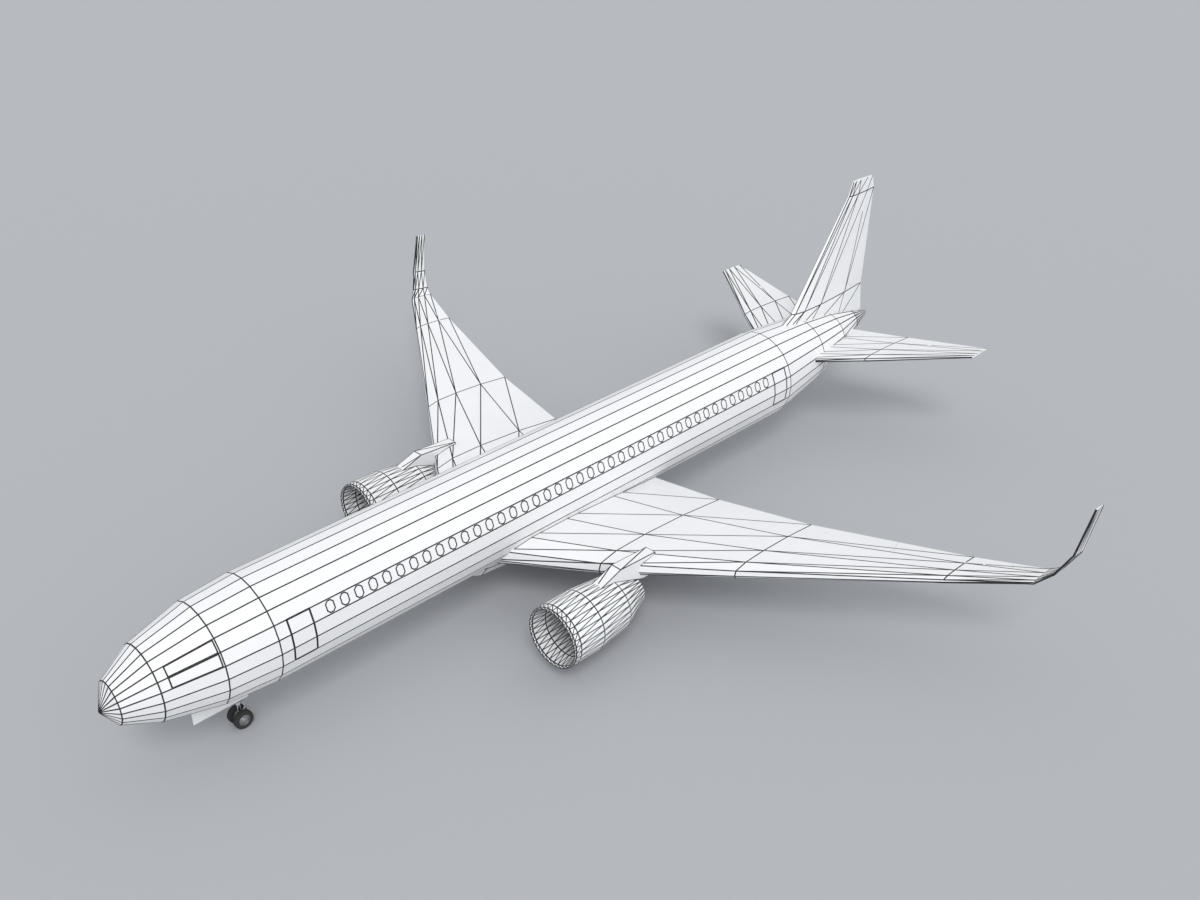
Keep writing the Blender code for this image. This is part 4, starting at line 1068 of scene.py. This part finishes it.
def make_main_leg(side, label):
    """Oleo leg in the place of the plain one, with its piston, axle, brakes, links, brace and hoses."""
    foot = axle_centre("main_" + label)
    gland = foot + UPWARD * GLAND_HEIGHT
    top = BOXES["main_gear_leg_" + label][1].z
    height = top - gland.z
    legs = bmesh.new()
    add_turned(legs, [*MAIN_CYLINDER, (MAIN_LEG_RADIUS, height), (0.0, height)], gland, "Z")
    add_turned(legs, MAIN_FORK, foot, "Z")
    add_bar(legs, foot, *MAIN_BOSS)
    add_bar(legs, foot, *MAIN_AXLE)
    leg = make_gear_piece("strut_main_" + label, legs, GEAR, 32.0)
    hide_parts("main_gear_leg_" + label)
    make_piston("piston_main_" + label, foot, *MAIN_PISTON, GLAND_HEIGHT)

    links, pins = bmesh.new(), bmesh.new()
    heights = (foot.z + MAIN_LINK_FOOT, gland.z + MAIN_LINK_HEAD)
    add_torque_links(links, pins, foot, heights, MAIN_LINKS)
    inboard, back, up = BRACE_FOOT
    out, drop = BRACE_HEAD
    brace_foot = foot + Vector((-side * inboard, back, up))
    brace_head = Vector((side * out, brace_foot.y, BODY_AXIS - drop))
    add_block(links, *BRACE_LUG, (foot.x - side * BRACE_LUG_OUT, foot.y, brace_foot.z))
    make_gear_piece("torque_links_main_" + label, links, GEAR, bevel=0.006)
    add_folding_brace(pins, brace_foot, brace_head, TO_TAIL, MAIN_BRACE)
    make_gear_piece("pins_main_" + label, pins, STEEL)

    discs, housing = bmesh.new(), bmesh.new()
    for sign in (1, -1):
        add_brakes(discs, housing, foot, sign)
    make_gear_piece("brake_discs_" + label, discs, STEEL)
    make_gear_piece("brake_housings_" + label, housing, GEAR)
    make_hoses(label, foot, top)


def make_door_stiffeners(side, label):
    """Ribs on the inner face of a main gear door."""
    low, high = BOXES["main_gear_door_" + label]
    face = high.x - DOOR_SKIN if side > 0 else low.x + DOOR_SKIN
    root = face + side * RIB_SINK
    bottom, top = low.z + RIB_EDGE, low.z + RIB_TOP
    bm = bmesh.new()
    for y in (low.y + RIB_EDGE, high.y - RIB_EDGE):
        add_block(bm, (face - side * RIB_DEPTH, y - RIB_HALF, bottom), (root, y + RIB_HALF, top))
    front, rear = low.y + CROSS_EDGE, high.y - CROSS_EDGE
    for height in (bottom + CROSS_INSET, (bottom + top) / 2 + CROSS_SHIFT, top - CROSS_INSET):
        corner = (face - side * CROSS_DEPTH, front, height - RIB_HALF)
        add_block(bm, corner, (root, rear, height + RIB_HALF))
    make_piece("door_ribs_main_" + label, bm, WHITE, "airframe", 30.0, 0.004)


def make_nose_leg():
    """Upper nose leg in the place of the plain one: cylinder, steering collar, drag brace and lamps."""
    low, high = BOXES["nose_gear_leg"]
    axle = axle_centre("nose")
    joint = Vector((0.0, axle.y, low.z))
    height = high.z - low.z
    bm = bmesh.new()
    add_turned(bm, [*NOSE_CYLINDER, (NOSE_LEG_RADIUS, height), (0.0, height)], joint, "Z")
    leg = make_gear_piece("strut_nose", bm, GEAR, 32.0)
    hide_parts("nose_gear_leg")

    bm = bmesh.new()
    foot = Vector((DRAG_SHIFT, axle.y, axle.z + DRAG_FOOT))
    head = Vector((DRAG_SHIFT, aft(DRAG_HEAD_STATION), high.z))
    add_folding_brace(bm, foot, head, TO_PORT, DRAG_BRACE)
    add_steering_jacks(bm, joint)
    make_gear_piece("drag_brace_nose", bm, STEEL)
    make_nose_lamps(joint)


def add_steering_jacks(bm, joint):
    """Jacks on both sides of the collar."""
    front, shoulder, rear = JACK_ENDS
    barrel, rod, trunnion = JACK_RADII
    for sign in (1, -1):
        root = joint + Vector((sign * JACK_ROOT, 0.0, JACK_UP))
        middle = joint + Vector((sign * JACK_OUT, 0.0, JACK_UP))
        add_rod(bm, middle + TO_TAIL * front, middle + TO_TAIL * shoulder, barrel)
        add_rod(bm, middle + TO_TAIL * shoulder, middle + TO_TAIL * rear, rod)
        add_rod(bm, root, middle, trunnion)


def make_nose_lamps(joint):
    """Landing and taxi lamps on the front of the nose leg."""
    bodies, glass = bmesh.new(), bmesh.new()
    for x, height, radius in LAMPS:
        centre = joint + Vector((x, -LAMP_FORWARD, height))
        for bm, profile in ((bodies, LAMP_SHELL), (glass, LAMP_LENS)):
            add_turned(bm, [(radius * share, back) for share, back in profile], centre, "Y")
        start, end = Vector((x, -0.075, height)), Vector((x * 0.30, -0.05, height - 0.02))
        add_rod(bodies, joint + start, joint + end, LAMP_ARM)
    half, back, height, radius = LAMP_BAR
    add_pin(bodies, joint + Vector((0.0, back, height)), TO_PORT, half, radius)
    make_gear_piece("lamp_housings", bodies, STEEL, 32.0)
    make_piece("lamp_lenses", glass, GLASS, smooth=30.0)


def make_nose_steering():
    """Steered lower strut in the place of the plain one: chrome piston, axle, links and tow eye."""
    body = "nose_steering"
    foot = axle_centre("nose")
    foot.x = 0.0
    head = Vector((0.0, foot.y, BOXES["nose_gear_steering"][1].z))
    gland = head.z - NOSE_GLAND_DROP
    bm = bmesh.new()
    add_turned(bm, NOSE_FORK, foot, "Z")
    add_bar(bm, foot, *NOSE_AXLE)
    add_turned(bm, NOSE_COLLAR, head, "Z")
    strut = make_gear_piece("lower_strut_nose", bm, GEAR, 32.0, body=body)
    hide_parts("nose_gear_steering")
    make_piston("piston_nose", foot, *NOSE_PISTON, gland - foot.z, body)

    links, pins = bmesh.new(), bmesh.new()
    add_torque_links(links, pins, foot, (foot.z + NOSE_LINK_FOOT, gland), NOSE_LINKS)
    add_block(links, *TOW_EYE, foot)
    make_gear_piece("torque_links_nose", links, GEAR, bevel=0.004, body=body)
    back, half, radius = TOW_PIN
    add_pin(pins, foot + TO_TAIL * back, TO_PORT, half, radius)
    make_gear_piece("pins_nose", pins, STEEL, body=body)


def make_bay_frames(front, rear, roof):
    """Frames and stringers in the nose wheel bay."""
    bm = bmesh.new()
    wall, ceiling = BAY_HALF - BAY_GAP, roof - BAY_GAP
    for k in range(FRAME_COUNT):
        y = between(front + FRAME_EDGE, rear - FRAME_EDGE, k / (FRAME_COUNT - 1))
        add_block(bm, (-wall, y - FRAME_HALF, roof - FRAME_DEPTH), (wall, y + FRAME_HALF, ceiling))
        for sign in (1, -1):
            corner = (sign * (BAY_HALF - FRAME_DEPTH), y - FRAME_HALF, roof - FRAME_DROP)
            add_block(bm, corner, (sign * wall, y + FRAME_HALF, ceiling))
    for sign in (1, -1):
        for drop in STRINGER_DROPS:
            height = roof - drop
            corner = (sign * (BAY_HALF - STRINGER_DEPTH), front + STRINGER_EDGE, height - STRINGER_HALF)
            add_block(bm, corner, (sign * wall, rear - STRINGER_EDGE, height + STRINGER_HALF))
    make_piece("nose_bay_frames", bm, BAY, smooth=30.0)


def make_bay_pipes(front, rear, roof):
    bm = bmesh.new()
    for sign, radius in BAY_PIPES:
        for step in PIPE_STEPS:
            x = sign * (PIPE_OUT + step)
            ends = [(x, y, roof - PIPE_DROP) for y in (front + PIPE_EDGE, rear - PIPE_EDGE)]
            middle = (x, (front + rear) / 2, roof - PIPE_DROP - PIPE_SAG)
            add_tube(bm, curved([ends[0], middle, ends[1]]), radius)
    make_piece("nose_bay_pipes", bm, STEEL, smooth=60.0)


def make_door_arms(front, rear, roof):
    """Arms that hold the nose doors, each with its foot on a door."""
    bm = bmesh.new()
    bottom = BODY_AXIS - ARM_FOOT
    for side, label in SIDES:
        low, high = BOXES["nose_gear_door_" + label]
        inner = low.x if side > 0 else high.x
        for share in ARM_SHARES:
            y = between(front, rear, share)
            route = [
                (side * (BAY_HALF - 0.06), y, roof - 0.26), (side * (BAY_HALF - 0.075), y, roof - 0.40),
                (side * (BAY_HALF - 0.050), y, roof - 0.52), (inner - side * 0.004, y, bottom + 0.06),
            ]
            add_tube(bm, curved(route), ARM_RADIUS)
            add_block(bm, (inner - side * 0.012, y - 0.03, bottom), (inner, y + 0.03, bottom + 0.12))
    make_piece("nose_door_arms", bm, GEAR, smooth=40.0)


def make_gear():
    for side, label in SIDES:
        make_main_leg(side, label)
        make_door_stiffeners(side, label)
    make_nose_leg()
    make_nose_steering()
    bay = (aft(BAY_FRONT), aft(BAY_REAR), BODY_AXIS - BAY_ROOF)
    make_bay_frames(*bay)
    make_bay_pipes(*bay)
    make_door_arms(*bay)


# Stage, lights and camera


def make_stage():
    bm = bmesh.new()
    bmesh.ops.create_grid(bm, x_segments=1, y_segments=1, size=FLOOR_SIZE / 2)
    material, _ = new_material("floor", FLOOR_COLOR, FLOOR_ROUGHNESS)
    add_mesh("floor", bm, material)


def make_sun(name, direction, strength, spread):
    light = bpy.data.lights.new(name, "SUN")
    light.energy = strength
    light.angle = math.radians(spread)
    add_object(name, light).rotation_euler = Vector(direction).to_track_quat("-Z", "Y").to_euler()


def make_lights():
    make_sun("key", *KEY_SUN)
    make_sun("fill", *FILL_SUN)
    world = bpy.data.worlds.new("studio")
    world.use_nodes = True
    background = world.node_tree.nodes["Background"]
    background.inputs["Color"].default_value = (*SKY_COLOR, 1.0)
    background.inputs["Strength"].default_value = SKY_STRENGTH
    bpy.context.scene.world = world
    bpy.context.scene.view_settings.view_transform = "Standard"


def make_camera():
    data = bpy.data.cameras.new("camera")
    data.lens = CAMERA_LENS
    data.sensor_width = CAMERA_SENSOR
    data.clip_end = CAMERA_REACH
    camera = add_object("camera", data)
    camera.location = CAMERA_PLACE
    camera.rotation_euler = (math.radians(90.0 - CAMERA_ELEVATION), 0.0, math.radians(CAMERA_AZIMUTH))
    bpy.context.scene.camera = camera


finish_nodes()
make_body_lines()
make_bold_outlines()
make_surface_lines()
make_engine_lines()
make_windows()
for side, label in SIDES:
    make_fan(side, label)
    make_guide_vanes(side, label)
make_wheels()
make_gear()
make_stage()
make_lights()
make_camera()
